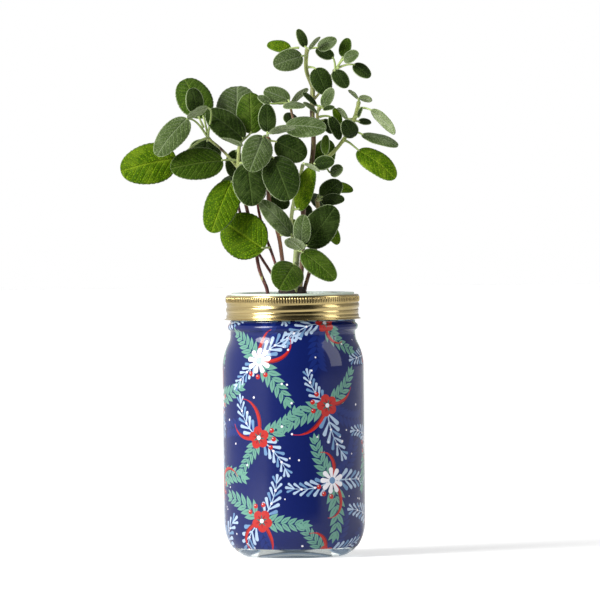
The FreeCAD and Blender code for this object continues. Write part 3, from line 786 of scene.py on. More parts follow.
def makeSleeve(colours, back):
    # The unrolled print is cut into triangles that follow its shapes, and wound round the jar
    skin = sleeveSkin()
    lengths = skinLengths(skin)
    height = lengths[-1]
    points, edges, faces, names = [], [], [], []

    def addFace(outline, name):
        area = sum(a[0] * b[1] - b[0] * a[1] for a, b in zip(outline, outline[1:] + outline[:1]))
        outline = outline if area > 0 else outline[::-1]
        faces.append(list(range(len(points), len(points) + len(outline))))
        points.extend(outline)
        names.append(name)

    addFace([(0, 0), (rollWidth, 0), (rollWidth, height), (0, height)], "navy")
    for name, outline in printShapes():
        for shift in (-rollWidth, 0, rollWidth):
            moved = [(x + shift, y) for x, y in outline]
            if touches(moved, rollWidth, height):
                addFace(moved, name)
    for length in lengths[1:-1]:
        edges.append((len(points), len(points) + 1))
        points += [(0, length), (rollWidth, length)]
    for column in range(1, sleeve["columns"]):
        across = rollWidth * column / sleeve["columns"]
        edges.append((len(points), len(points) + 1))
        points += [(across, 0), (across, height)]
    flat = [Vector(point) for point in points]
    insideOnly, near = 1, 1e-5
    made, _, triangles, _, _, sources = delaunay_2d_cdt(flat, edges, faces, insideOnly, near, True)

    def onSkin(point):
        reach = max(0, min(height, point.y))
        index = max(step for step, length in enumerate(lengths[:-1]) if length <= reach)
        share = (reach - lengths[index]) / (lengths[index + 1] - lengths[index])
        radius = skin[index][0] + (skin[index + 1][0] - skin[index][0]) * share
        level = skin[index][1] + (skin[index + 1][1] - skin[index][1]) * share
        angle = sleeve["seamTurn"] + 2 * math.pi * point.x / rollWidth
        return radius * math.cos(angle), radius * math.sin(angle), level

    order = list(colours)
    kept, materialOf = [], []
    for triangle, owners in zip(triangles, sources):
        if 0 not in owners:
            continue
        kept.append(list(triangle))
        materialOf.append(order.index(names[max(owners)]))
    uvs = [(point.x / rollWidth, point.y / height) for point in made]
    materials = [colours[name] for name in order] + [back]
    piece = makePiece("printedSleeve", [onSkin(point) for point in made], kept, materials, materialOf, uvs)
    bm = bmesh.new()
    bm.from_mesh(piece.data)
    bmesh.ops.remove_doubles(bm, verts=bm.verts, dist=sleeve["merge"] * mm)
    loose = [vert for vert in bm.verts if not vert.link_faces]
    bmesh.ops.delete(bm, geom=loose, context="VERTS")
    bm.to_mesh(piece.data)
    bm.free()
    wall = piece.modifiers.new("wall", "SOLIDIFY")
    wall.thickness = sleeve["thickness"] * mm
    wall.offset = -1
    wall.material_offset = len(order)
    wall.material_offset_rim = len(order)
    piece = evaluated(piece, "printedSleeve")
    skinNormals(skin, piece.data)
    return piece


filmLook = {
    "grain": (14, 900), "brighter": 1.1, "lift": 3, "ripples": 120, "stretch": (1, 1, 0.25), "share": 0.15,
    "ripple": (0.35, 0.5),
}
# The film's inside: its tints, and the colour of its painted glow
backLook = {"tints": ((150, 160, 180), (180, 188, 200)), "glow": (150, 166, 190), "grain": (30, 500)}


def filmMaterial(name, colour):
    # Ink under a glossy shrunk film: a little mottle in the ink, a faint ripple in the film
    material, tree, shader = newMaterial(name, Roughness=0.5, Specular_IOR_Level=0.05, Coat_Weight=0.9,
                                         Coat_Roughness=0.06, Coat_IOR=1.4)
    broad, fine = grained(tree, *filmLook["grain"])
    tint = tuple(min(255, filmLook["brighter"] * value + filmLook["lift"]) for value in colour)
    place = {"Vector": objectCoordinates(tree), "Scale": filmLook["stretch"]}
    upright = add(tree, "ShaderNodeMapping", place).outputs[0]
    ripple = calc(tree, "MULTIPLY", clouds(tree, upright, filmLook["ripples"], 2), filmLook["share"])
    wire(tree, shader, Base_Color=between(tree, fine, (colour, tint)),
         Normal=bump(tree, calc(tree, "ADD", broad, ripple), *filmLook["ripple"]))
    return material


def filmBackMaterial():
    # A painted glow on the film's inside, standing in for the daylight that the film lets through
    material, tree, shader = newMaterial("filmBack", Roughness=0.6, Emission_Strength=0.85)
    broad, _ = grained(tree, *backLook["grain"])
    shader.inputs["Emission Color"].default_value = screen(*backLook["glow"])
    wire(tree, shader, Base_Color=between(tree, broad, backLook["tints"]))
    return material


# Screw band

# "At" is a middle's height over the lower edge. "Inner" and "outer" are where a bead's round side begins and
# ends, from its middle.
band = {
    "inside": 44.35, "sheet": 0.45, "opening": 38.7, "corner": 0.8, "pitch": 5.08, "columns": 540, "rows": 60,
    "bead": {"at": 7.9, "out": 0.5, "inner": 0.5, "outer": 2.1, "turnFade": 26, "wallIn": 0.1},
    "groove": {"in": 0.3, "away": 2.25, "width": 0.32},
    "lowerBead": {"at": 1.9, "out": 0.32, "inner": 0.3, "outer": 1.5},
    "lowerGroove": {"at": 3.5, "in": 0.22, "width": 0.3},
    "flare": 46.6, "flareFrom": 0.1, "flareHeight": 1.3, "flareIn": 0.2, "lipRise": 0.25, "lipOut": 1.3,
    "lipIn": 0.9, "lipSlope": 0.1, "collarEdge": 0.4, "collarRows": 4, "innerRows": 30, "innerFoot": 0.5,
    "innerEdge": 0.4,
    "knurls": 152, "knurlFoot": 45.05, "knurlTip": 45.5, "knurlTop": 1.0, "knurlHeight": 3.9,
    "knurlWidth": 1.12, "knurlEnd": 0.55, "knurlSink": 0.05, "knurlFade": 0.8, "knurlRound": 6,
}
band["bottom"], band["top"] = nodeBox("screw_band")[0].z, nodeBox("screw_band")[1].z


def bandSkin(height, angle):
    # The rolled wall's outside: collar, climbing bead between two grooves, flat, lower bead and flared lip
    wall = band["inside"] + band["sheet"]
    bead, groove = band["bead"], band["groove"]
    lowerBead, lowerGroove = band["lowerBead"], band["lowerGroove"]
    low = band["bottom"]
    turn = (angle + math.pi / 2 + math.pi) % (2 * math.pi) - math.pi
    climb = low + bead["at"] + band["pitch"] * turn / (2 * math.pi)
    fade = smooth(0, bead["turnFade"], 180 - abs(math.degrees(turn)))
    away = abs(height - climb)
    reach = wall - bead["wallIn"]
    reach += fade * bead["out"] * (1 - smooth(bead["inner"], bead["outer"], away))
    reach -= fade * groove["in"] * math.exp(-((away - groove["away"]) / groove["width"]) ** 2)
    lower = abs(height - (low + lowerBead["at"]))
    reach += lowerBead["out"] * (1 - smooth(lowerBead["inner"], lowerBead["outer"], lower))
    reach -= lowerGroove["in"] * math.exp(-((height - low - lowerGroove["at"]) / lowerGroove["width"]) ** 2)
    flare = 1 - smooth(0.0, band["flareHeight"], height - low - band["flareFrom"])
    reach += (band["flare"] - wall) * flare ** 1.5
    knurlLow = band["top"] - band["knurlTop"] - band["knurlHeight"]
    knurled = smooth(knurlLow - band["knurlFade"], knurlLow, height)
    return reach + (band["knurlFoot"] - wall + bead["wallIn"]) * knurled


def makeBand(material):
    top, bottom, corner = band["top"], band["bottom"], band["corner"]
    opening, inside, under = band["opening"], band["inside"], band["top"] - band["sheet"]
    wall = inside + band["sheet"]
    collar = [(opening, top), (opening + band["collarEdge"], top)]
    rows = band["collarRows"]
    collar += [(opening + (wall - corner - opening) * step / rows, top) for step in range(1, rows + 1)]
    collar += bow((band["knurlFoot"] - corner, top - corner), corner, math.pi / 2, 0, steps=6)[1:]
    rows = band["rows"]
    tall = top - corner - bottom - band["lipRise"]
    profile = collar + [(wall, top - corner - tall * step / rows) for step in range(1, rows + 1)]
    sideFrom, sideTo = len(collar), len(profile)
    profile += [(wall + band["lipOut"], bottom), (wall + band["lipIn"], bottom + band["lipSlope"])]
    rows = band["innerRows"]
    foot, edge = band["innerFoot"], band["innerEdge"]
    tall = under - bottom - (foot + edge)
    innerFrom = len(profile)
    profile += [(inside, bottom + foot + tall * step / rows) for step in range(rows + 1)]
    innerTo = len(profile)
    profile += [(inside - edge, under), (opening, under)]

    def shape(index, radius, height, angle):
        if sideFrom <= index < sideTo:
            return bandSkin(height, angle), height
        if innerFrom <= index < innerTo:
            most = band["flare"] - band["sheet"] - band["flareIn"]
            return min(bandSkin(height, angle) - band["sheet"], most), height
        return radius, height

    points, faces = lathe(profile, band["columns"], shape)
    return makePiece("screwBand", points, [face[::-1] for face in faces], [material])


def knurlTree(material):
    # Copies of one ridge on a ring, each facing out
    inputs = (("Ridge", "Geometry"), ("Count", "Int"), ("Ring Radius", "Float"))
    tree, given, keys = newGeometryTree("knurlRing", inputs, "Ring")
    ring = add(tree, "GeometryNodeMeshCircle", {"Vertices": given["Count"], "Radius": given["Ring Radius"]})
    outward = {"Vector": tree.nodes.new("GeometryNodeInputPosition").outputs[0]}
    facing = add(tree, "FunctionNodeAlignRotationToVector", outward, axis="X")
    copies = {"Points": ring.outputs["Mesh"], "Instance": given["Ridge"], "Rotation": facing.outputs[0]}
    endTree(tree, add(tree, "GeometryNodeInstanceOnPoints", copies), material)
    return tree, keys


def makeKnurls(material):
    # One ridge stands on the ring's wall, rounded across and at both ends
    height, width, lift = band["knurlHeight"], band["knurlWidth"], band["knurlTip"] - band["knurlFoot"]
    middle = band["top"] - band["knurlTop"] - height / 2
    lengthSteps, widthSteps = 6, 4
    points = []
    for row in range(lengthSteps + 1):
        along = -math.cos(math.pi * row / lengthSteps)
        swell = math.sqrt(max(0, 1 - along ** band["knurlRound"]))
        half = width / 2 * (band["knurlEnd"] + (1 - band["knurlEnd"]) * swell)
        for column in range(widthSteps + 1):
            across = -math.cos(math.pi * column / widthSteps)
            out = lift * swell * math.sqrt(max(0, 1 - across * across)) - band["knurlSink"]
            points.append((out, across * half, middle + along * height / 2))
    faces = []
    stride = widthSteps + 1
    for start in range(0, lengthSteps * stride, stride):
        for corner in range(start, start + widthSteps):
            faces.append([corner, corner + 1, corner + 1 + stride, corner + stride])
    backFace = [row * stride for row in range(lengthSteps + 1)]
    backFace += [row * stride + widthSteps for row in range(lengthSteps, -1, -1)]
    faces.append(backFace)
    work = makePiece("knurlRidge", points, faces, [material])
    tree, keys = knurlTree(material)
    values = {"Count": band["knurls"], "Ring Radius": band["knurlFoot"] * mm}
    return grown(work, tree, keys, values, "bandKnurls")


goldLook = {
    "tints": ((206, 186, 134), (190, 168, 114)), "grain": (30, 500, (1, 1, 6)), "roughness": 0.13,
    "rougher": 0.1, "relief": (0.04, 0.4),
}


def goldMaterial():
    material, tree, shader = newMaterial("goldLacquer", Metallic=1.0, IOR=1.5)
    broad, fine = grained(tree, *goldLook["grain"])
    roughness = calc(tree, "ADD", goldLook["roughness"], calc(tree, "MULTIPLY", fine, goldLook["rougher"]))
    wire(tree, shader, Base_Color=between(tree, broad, goldLook["tints"]), Roughness=roughness,
         Normal=bump(tree, fine, *goldLook["relief"]))
    return material


# Net pot, coir, plug, wick and gasket

# "Relief" holds the depth and the strength of a finish's bump
potLook = {
    "plain": {"Roughness": 0.42, "Subsurface_Weight": 0.08, "Subsurface_Scale": 0.004},
    "tints": ((184, 200, 188), (200, 214, 203)), "grain": (40, 1400), "relief": (0.03, 0.5),
}
gasketLook = {
    "plain": {"Roughness": 0.7}, "tints": ((196, 192, 182), (208, 204, 196)), "grain": (60, 1800),
    "relief": (0.05, 0.6),
}
coirLook = {"grain": (160, 900), "broad": 0.6, "fine": 0.4, "lit": (0.35, 0.68), "relief": (0.5, 1.0)}
coirTints = {
    "coir": ((34, 24, 14), (96, 70, 42)),
    "plugCoir": ((10, 8, 6), (44, 31, 22)),
    "wickFelt": ((176, 172, 160), (214, 210, 198)),
}


def mouldedMaterial(name, look):
    material, tree, shader = newMaterial(name, **look["plain"])
    broad, fine = grained(tree, *look["grain"])
    wire(tree, shader, Base_Color=between(tree, broad, look["tints"]),
         Normal=bump(tree, fine, *look["relief"]))
    return material


def coirMaterial(name):
    material, tree, shader = newMaterial(name, Roughness=0.95, Sheen_Weight=0.15)
    broad, fine = grained(tree, *coirLook["grain"])
    mixed = calc(tree, "ADD", calc(tree, "MULTIPLY", broad, coirLook["broad"]),
                 calc(tree, "MULTIPLY", fine, coirLook["fine"]))
    lit = rise(tree, mixed, *coirLook["lit"])
    wire(tree, shader, Base_Color=between(tree, lit, coirTints[name]),
         Normal=bump(tree, fine, *coirLook["relief"]))
    return material


# "Rough" holds how far the surface goes in and out, how fine that is, and its seed
medium = {
    "bottom": 25.6, "edge": 1, "wickHole": 3.9, "hole": 10.9, "holeDepth": 30, "columns": 120,
    "rough": (0.7, 0.35, 3),
}
plug = {
    "edge": 1, "shoulder": 5.6, "shoulderTop": 0.8, "crownIn": 1.4, "crownDown": 0.3, "crownHole": 1.2,
    "crownUp": 0.2, "columns": 72, "rough": (0.55, 0.5, 8),
}
fibres = {
    "grounds": ({"inner": 11.5, "in": 2, "down": 0.4}, {"inner": 0.5, "in": 1.5, "down": 0.5}),
    "columns": 24, "perSquareMetre": 260000.0, "length": 4.5, "radius": 0.09, "seed": 4, "tilt": 0.35,
    "turn": 6.28, "least": 0.5, "most": 1.2, "bend": (0, 0.25, 0.3), "end": (0.5, 0, 0.05),
}
wick = {"edge": 0.6, "columns": 40, "rough": (0.25, 0.9, 5)}
lumps = {"decay": 0.8, "finer": 2.0, "octaves": 3, "apart": 9, "least": 0.2}


def rough(amount, coarse, seed):
    # Pushes a turned shape's points in and out
    def shape(index, radius, height, angle):
        place = Vector((radius * math.cos(angle), radius * math.sin(angle), height))
        place = place * coarse + Vector((seed, 0, 0))
        push = noise.fractal(place, lumps["decay"], lumps["finer"], lumps["octaves"]) * amount
        shift = noise.noise(place + Vector((1, 1, 1)) * lumps["apart"]) * amount
        return max(lumps["least"], radius + push - amount), height + shift

    return shape


def spread(low, high, steps):
    # Points from low on towards high, which is left to the next stretch
    return [(low[0] + (high[0] - low[0]) * step / steps, low[1] + (high[1] - low[1]) * step / steps)
            for step in range(steps)]


def makeMedium(material):
    low, high = nodeBox("growing_medium")
    edge, hole, floor = medium["edge"], medium["hole"], high.z - medium["holeDepth"]
    profile = [(medium["wickHole"], low.z), (medium["bottom"] - edge, low.z)]
    profile += spread((medium["bottom"], low.z + edge), (high.x, high.z - edge), steps=30)
    profile += spread((high.x - edge, high.z), (hole, high.z), steps=16)
    profile += spread((hole, high.z - edge), (hole, floor + edge), steps=6)
    profile += [(medium["wickHole"], floor)]
    points, faces = lathe(profile, medium["columns"], rough(*medium["rough"]))
    return makePiece("coirMedium", points, faces, [material])


def makePlug(material):
    low, high = nodeBox("seed_plug")
    wide, edge, shoulder = high.x, plug["edge"], high.z - plug["shoulder"]
    profile = [(0, low.z), (wide - edge, low.z)]
    profile += spread((wide, low.z + edge), (wide, shoulder), steps=12)
    profile += spread((wide, shoulder), (wide - edge, high.z - plug["shoulderTop"]), steps=5)
    profile += spread((wide - plug["crownIn"], high.z - plug["crownDown"]),
                      (plug["crownHole"], high.z + plug["crownUp"]), steps=9)
    profile += [(0, high.z)]
    points, faces = lathe(profile, plug["columns"], rough(*plug["rough"]))
    return makePiece("coirPlug", points, faces, [material])


def fibreTree(material):
    # Bent fibres scattered over a surface
    inputs = (("Ground", "Geometry"), ("Fibres Per Area", "Float"), ("Fibre Length", "Float"),
              ("Fibre Radius", "Float"), ("Seed", "Int"))
    tree, given, keys = newGeometryTree("fibreScatter", inputs, "Fibres")
    length, radius, seed = given["Fibre Length"], given["Fibre Radius"], given["Seed"]
    spots = add(tree, "GeometryNodeDistributePointsOnFaces",
                {"Mesh": given["Ground"], "Density": given["Fibres Per Area"], "Seed": seed})
    curve = add(tree, "GeometryNodeCurveQuadraticBezier",
                {"Resolution": 5, "Start": (-0.5, 0, 0), "Middle": fibres["bend"], "End": fibres["end"]})
    sized = add(tree, "ShaderNodeCombineXYZ", {0: length, 1: length, 2: length})
    long = add(tree, "GeometryNodeTransform", {"Geometry": curve.outputs[0], "Scale": sized.outputs[0]})
    ring = add(tree, "GeometryNodeCurvePrimitiveCircle", {"Resolution": 4, "Radius": radius})
    strand = add(tree, "GeometryNodeCurveToMesh",
                 {"Curve": long.outputs[0], "Profile Curve": ring.outputs[0], "Fill Caps": True})
    tilt = fibres["tilt"]
    leans = {0: (-tilt, -tilt, 0), 1: (tilt, tilt, fibres["turn"]), "Seed": seed}
    lean = add(tree, "FunctionNodeRandomValue", leans, data_type="FLOAT_VECTOR")
    size = add(tree, "FunctionNodeRandomValue", {2: fibres["least"], 3: fibres["most"], "Seed": seed},
               data_type="FLOAT")
    copies = {"Points": spots.outputs["Points"], "Instance": strand.outputs[0], "Rotation": lean.outputs[0],
              "Scale": size.outputs[1]}
    endTree(tree, add(tree, "GeometryNodeInstanceOnPoints", copies), material)
    return tree, keys


def makeFibres(material):
    # They grow on two flat rings just under the tops of medium and plug
    discs = []
    columns = fibres["columns"]
    for node, ground in zip(("growing_medium", "seed_plug"), fibres["grounds"]):
        high = nodeBox(node)[1]
        inner, outer, level = ground["inner"], high.x - ground["in"], high.z - ground["down"]
        points, faces = [], []
        for column in range(columns):
            angle = 2 * math.pi * column / columns
            for radius in (inner, outer):
                points.append((radius * math.cos(angle), radius * math.sin(angle), level))
            after = (column + 1) % columns
            faces.append([2 * column, 2 * column + 1, 2 * after + 1, 2 * after])
        discs.append((points, faces))
    points, faces = joined(discs)
    work = makePiece("fibreGround", points, faces, [material])
    tree, keys = fibreTree(material)
    values = {"Fibres Per Area": fibres["perSquareMetre"], "Fibre Length": fibres["length"] * mm,
              "Fibre Radius": fibres["radius"] * mm, "Seed": fibres["seed"]}
    return grown(work, tree, keys, values, "coirFibres")


def makeWick(material):
    low, high = nodeBox("wick")
    radius, edge = high.x, wick["edge"]
    profile = [(0, low.z), (radius - edge, low.z)]
    profile += spread((radius, low.z + edge), (radius, high.z - edge), steps=60)
    profile += [(radius - edge, high.z), (0, high.z)]
    points, faces = lathe(profile, wick["columns"], rough(*wick["rough"]))
    return makePiece("feltWick", points, faces, [material])


# Stems and leaf stalks

# Lower colour, upper colour, the heights between which one turns into the other, and how far to the right a
# branch turns into it too
stemTones = {
    "left_stem": ((96, 44, 38), (150, 160, 92), 232, 262, 900),
    "low_stem": ((84, 42, 34), (118, 70, 48), 190, 240, 900),
    "reddish_stem": ((100, 44, 40), (128, 60, 52), 190, 240, 900),
    "middle_stem": ((88, 52, 34), (150, 96, 58), 190, 232, 900),
    "front_stem": ((140, 152, 88), (166, 178, 112), 185, 210, 900),
    "rear_stem": ((84, 48, 34), (128, 112, 62), 196, 238, 900),
    "main_stem": ((92, 62, 36), (148, 160, 84), 296, 326, 15),
}


# "Wander" is in metres. "Raise" lifts the heights above, and "sideTurn" is how wide the turn to the right is.
stemLook = {
    "grain": (90, 700, (1, 1, 0.18)), "wander": 0.012, "raise": 6, "sideTurn": 7, "darker": 0.6,
    "lighter": 1.35, "streak": (0.45, 0.75), "fleck": (0.55, 0.8), "relief": (0.12, 0.7),
}
stalkLook = {
    "tints": ((120, 140, 62), (166, 182, 112)), "grain": (70, 900, (1, 1, 0.4)), "light": (0.35, 0.7),
    "relief": (0.08, 0.6),
}


def stemMaterial(name, low, high, start, end, side):
    material, tree, shader = newMaterial(name + "Skin", Roughness=0.55, Sheen_Weight=0.25,
                                         Sheen_Roughness=0.5)
    broad, fine = grained(tree, *stemLook["grain"])
    place = add(tree, "ShaderNodeSeparateXYZ", {0: objectCoordinates(tree)}).outputs
    wander = calc(tree, "MULTIPLY_ADD", broad, stemLook["wander"], place["Z"])
    upper = rise(tree, wander, (start + stemLook["raise"]) * mm, (end + stemLook["raise"]) * mm)
    beside = rise(tree, place["X"], side * mm, (side + stemLook["sideTurn"]) * mm)
    base = between(tree, calc(tree, "MAXIMUM", upper, beside), (low, high))
    dark = screen(*(stemLook["darker"] * value for value in low))
    light = screen(*(min(255, stemLook["lighter"] * value) for value in high))
    streak = blendColours(tree, rise(tree, broad, *stemLook["streak"]), base, dark)
    pale = blendColours(tree, rise(tree, fine, *stemLook["fleck"]), streak, light)
    wire(tree, shader, Base_Color=pale, Normal=bump(tree, fine, *stemLook["relief"]))
    return material


# A stalk's rod in the frame, how its end's ring of points is found at a leaf's base, and how far the rest is
rod = {"radius": 0.75, "gap": 0.25, "slack": 0.15, "ring": 7, "farther": 1.3, "merge": 0.001}
bark = {
    "voxel": 0.36, "ease": 0.5, "easeTimes": 3, "rough": 0.1, "fine": 0.9, "noise": (1.0, 2.0, 3),
    "node": 1.7, "nodeMost": 1.2, "swell": 0.45,
}
leafStalk = {
    "steps": 12, "sides": 10, "wide": 0.95, "taper": 0.33, "sink": 0.7, "past": 0.5, "leave": (0.8, 0.3),
    "arrive": (0.45, 0.65),
}


def merged(node):
    bm = bmesh.new()
    bm.from_mesh(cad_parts[node].data)
    bmesh.ops.remove_doubles(bm, verts=bm.verts, dist=rod["merge"] * mm)
    bm.verts.index_update()
    return bm


def islands(node):
    # The separate solids of a node, each as its points
    bm = merged(node)
    seen = set()
    found = []
    for first in bm.verts:
        if first.index in seen:
            continue
        seen.add(first.index)
        stack, island = [first], []
        while stack:
            vert = stack.pop()
            island.append(vert.co / mm)
            for edge in vert.link_edges:
                other = edge.other_vert(vert)
                if other.index not in seen:
                    seen.add(other.index)
                    stack.append(other)
        found.append(island)
    bm.free()
    return found


def mean(points):
    return sum(points, Vector()) / len(points)


def readRods(nodes):
    # Each stalk is a straight rod that ends a little short of its leaf. Its points go into a quick search.
    points = []
    for node in nodes:
        bm = merged(node)
        for vert in bm.verts:
            points.append((node, vert.co / mm, [edge.other_vert(vert).co / mm for edge in vert.link_edges]))
        bm.free()
    tree = KDTree(len(points))
    for index, (_, place, _) in enumerate(points):
        tree.insert(place, index)
    tree.balance()
    return points, tree


def findBase(island, tree):
    # The blade's point that lies just as far from a whole ring of rod points as a rod's end leaves it
    ring = math.hypot(rod["radius"], rod["gap"])

    def misfit(point):
        return sum(abs(found[2] - ring) for found in tree.find_n(point, rod["ring"]))

    return min(island, key=misfit)


def findRoot(base, points, tree):
    # The stem's stalk node, and the middle of the rod's other end
    reach = math.hypot(rod["radius"], rod["gap"]) + rod["slack"]
    ring = [points[index] for _, index, _ in tree.find_range(base, reach)]
    far = [place for _, _, linked in ring for place in linked if (place - base).length > rod["farther"]]
    return ring[0][0], mean(far)


def makeStem(node, material, roots):
    # A stem's skin over the frame's solid, with a swelling where each leaf stalk starts
    work = link("stemWork", bpy.data.meshes.new("stemWork"))
    bm = merged(node)
    bm.to_mesh(work.data)
    bm.free()
    skin = work.modifiers.new("skin", "REMESH")
    skin.mode = "VOXEL"
    skin.voxel_size = bark["voxel"] * mm
    ease = work.modifiers.new("ease", "SMOOTH")
    ease.factor = bark["ease"]
    ease.iterations = bark["easeTimes"]
    piece = evaluated(work, node.replace("_", "") + "Skin")
    mesh = piece.data
    normals = [vert.normal.copy() for vert in mesh.vertices]
    for vert, normal in zip(mesh.vertices, normals):
        place = vert.co / mm
        swell = sum(math.exp(-((place - root).length / bark["node"]) ** 2) for root in roots)
        push = min(swell, bark["nodeMost"]) * bark["swell"]
        push += noise.fractal(place * bark["fine"], *bark["noise"]) * bark["rough"]
        vert.co += normal * push * mm
    mesh.materials.clear()
    mesh.materials.append(material)
    mesh.polygons.foreach_set("use_smooth", [True] * len(mesh.polygons))
    return piece


def stalkPath(root, base, along):
    # From the stem out and round into the leaf's midrib
    run = base - root
    ahead = run.normalized()
    start = root - ahead * leafStalk["sink"]
    end = base + along * leafStalk["past"]
    (aheadShare, upShare), (runShare, alongShare) = leafStalk["leave"], leafStalk["arrive"]
    leave = (ahead * aheadShare + up * upShare).normalized() * run.length
    arrive = (ahead * runShare + along * alongShare).normalized() * run.length
    path = []
    for step in range(leafStalk["steps"] + 1):
        t = step / leafStalk["steps"]
        path.append(start * (2 * t**3 - 3 * t**2 + 1) + leave * (t**3 - 2 * t**2 + t)
                    + end * (3 * t**2 - 2 * t**3) + arrive * (t**3 - t**2))
    return path


def makeStalks(node, stalks, material):
    steps = leafStalk["steps"]
    thinning = [math.sin(math.pi / 2 * step / steps) for step in range(steps + 1)]
    radii = [leafStalk["wide"] - leafStalk["taper"] * share for share in thinning]
    parts = [tube(stalkPath(root, base, along), radii, leafStalk["sides"]) for root, base, along in stalks]
    points, faces = joined(parts)
    return makePiece(node.replace("_", "") + "Stalks", points, faces, [material])


def stalkMaterial():
    material, tree, shader = newMaterial("stalkSkin", Roughness=0.5, Sheen_Weight=0.3, Sheen_Roughness=0.5)
    broad, fine = grained(tree, *stalkLook["grain"])
    light = rise(tree, broad, *stalkLook["light"])
    wire(tree, shader, Base_Color=between(tree, light, stalkLook["tints"]),
         Normal=bump(tree, fine, *stalkLook["relief"]))
    return material


# Leaves

# Shares of the leaf's length or width, apart from thickness, rib and ribWide, which are millimetres. "Drawn"
# holds the least and the most of what each leaf draws for itself.
blade = {
    "rows": 52, "columns": 26, "blunt": 0.86, "lean": 0.1, "thickness": 0.42, "arch": 0.08, "camber": 0.10,
    "groove": 0.018, "grooveWide": 0.05, "quilt": 0.012, "sideVeins": 8.0, "slant": 5.2, "pebbles": 620,
    "rib": 0.55, "ribWide": 0.75, "ribTaper": 0.75, "rim": ((0.012, 2.1), (0.008, 3.3)), "lobeFade": 0.16,
    "lobeRound": 1.5, "bendFrom": 0.6, "quiltFrom": 0.15, "quiltTo": 0.6, "waves": 9, "crowd": 1.3,
    "edgeRound": 6,
    "drawn": {
        "bend": (-0.02, 0.03), "twist": (-0.16, 0.16), "wave": (0.006, 0.02), "phase": (0, 6.28),
        "fold": (0.0, 0.05), "lobe": (0.01, 0.05),
    },
}
# Leaf tones, one for each of the frame's leaf groups. The bright and dark tones are lit and shaded copies of
# one leaf colour: painted light and painted shade. The grey tone's pale look is partly downy hair and partly
# painted sheen.
litAndShadedLeafTones = {
    "bright": {"deep": (46, 74, 0), "top": (89, 119, 2), "fleck": (120, 142, 28), "down": 0.02, "rim": 0.3},
    "green": {"deep": (36, 58, 3), "top": (65, 91, 13), "fleck": (94, 114, 42), "down": 0.05, "rim": 0.55},
    "dark": {"deep": (19, 34, 2), "top": (41, 61, 10), "fleck": (68, 86, 38), "down": 0.06, "rim": 0.6},
    "grey": {"deep": (52, 69, 28), "top": (89, 106, 60), "fleck": (128, 142, 104), "down": 0.16, "rim": 0.6},
}
# In each tone and in the underside, the first colour is painted shade in the hollows between the pebbles, and
# the top colour is painted light on their crowns, over the pebbles' own bump.
underside = {"deep": (96, 112, 66), "top": (134, 148, 102), "fleck": (168, 178, 140), "down": 0.4}
# Where each mark starts and ends, as shares of the width, of the way between two veins or of a pebble, with
# the rim's in millimetres. Then how much of each colour shows, and how far veins and midrib sink on top and
# stand out below.
leafLook = {
    "midrib": (0.008, 0.032), "vein": (0.02, 0.15), "veinEnd": (0.25, 0.48), "pebble": (0.02, 0.4),
    "rim": (0.12, 0.75), "clouds": 130.0, "cloud": (0.42, 0.7), "lift": (0.4, 0.1), "midribShare": 0.5,
    "veinShare": 0.25, "rimTint": (176, 190, 146), "downTint": (0.9, 0.95, 0.85, 1), "pebbleHeight": 0.5,
    "veinHeight": (-0.7, 0.8), "midribHeight": (-0.8, 1.0), "relief": (0.42, 0.9),
}


def leafPatternGroup():
    # Midrib, side veins, pebbles between the small veins, and the pale rim
    inputs = [("Leaf Place", "Vector"), ("Position", "Vector"), ("Edge Distance", "Float"),
              ("Side Veins", "Float"), ("Slant", "Float"), ("Pebble Scale", "Float")]
    group, given, made = newGroup("leafPattern", inputs, ["Midrib", "Vein", "Pebble", "Rim", "Cloud"])

    def fading(value, low, high):
        return calc(group, "SUBTRACT", 1.0, rise(group, value, low, high))

    place = add(group, "ShaderNodeSeparateXYZ", {0: given["Leaf Place"]})
    across = calc(group, "SUBTRACT", place.outputs["Y"], 0.5)
    away = calc(group, "ABSOLUTE", across)
    other = calc(group, "MULTIPLY", calc(group, "GREATER_THAN", across, 0.0), 0.5)
    phase = calc(group, "SUBTRACT", calc(group, "MULTIPLY", place.outputs["X"], given["Side Veins"]),
                 calc(group, "MULTIPLY", away, given["Slant"]))
    gap = calc(group, "PINGPONG", calc(group, "ADD", phase, other), 0.5)
    vein = calc(group, "MULTIPLY", fading(gap, *leafLook["vein"]), fading(away, *leafLook["veinEnd"]))
    cells = add(group, "ShaderNodeTexVoronoi", {"Vector": given["Position"], "Scale": given["Pebble Scale"]},
                feature="DISTANCE_TO_EDGE")
    group.links.new(fading(away, *leafLook["midrib"]), made["Midrib"])
    group.links.new(vein, made["Vein"])
    group.links.new(rise(group, cells.outputs["Distance"], *leafLook["pebble"]), made["Pebble"])
    group.links.new(fading(given["Edge Distance"], *leafLook["rim"]), made["Rim"])
    group.links.new(clouds(group, given["Position"], leafLook["clouds"], 5.0), made["Cloud"])
    return group


leafPattern = leafPatternGroup()


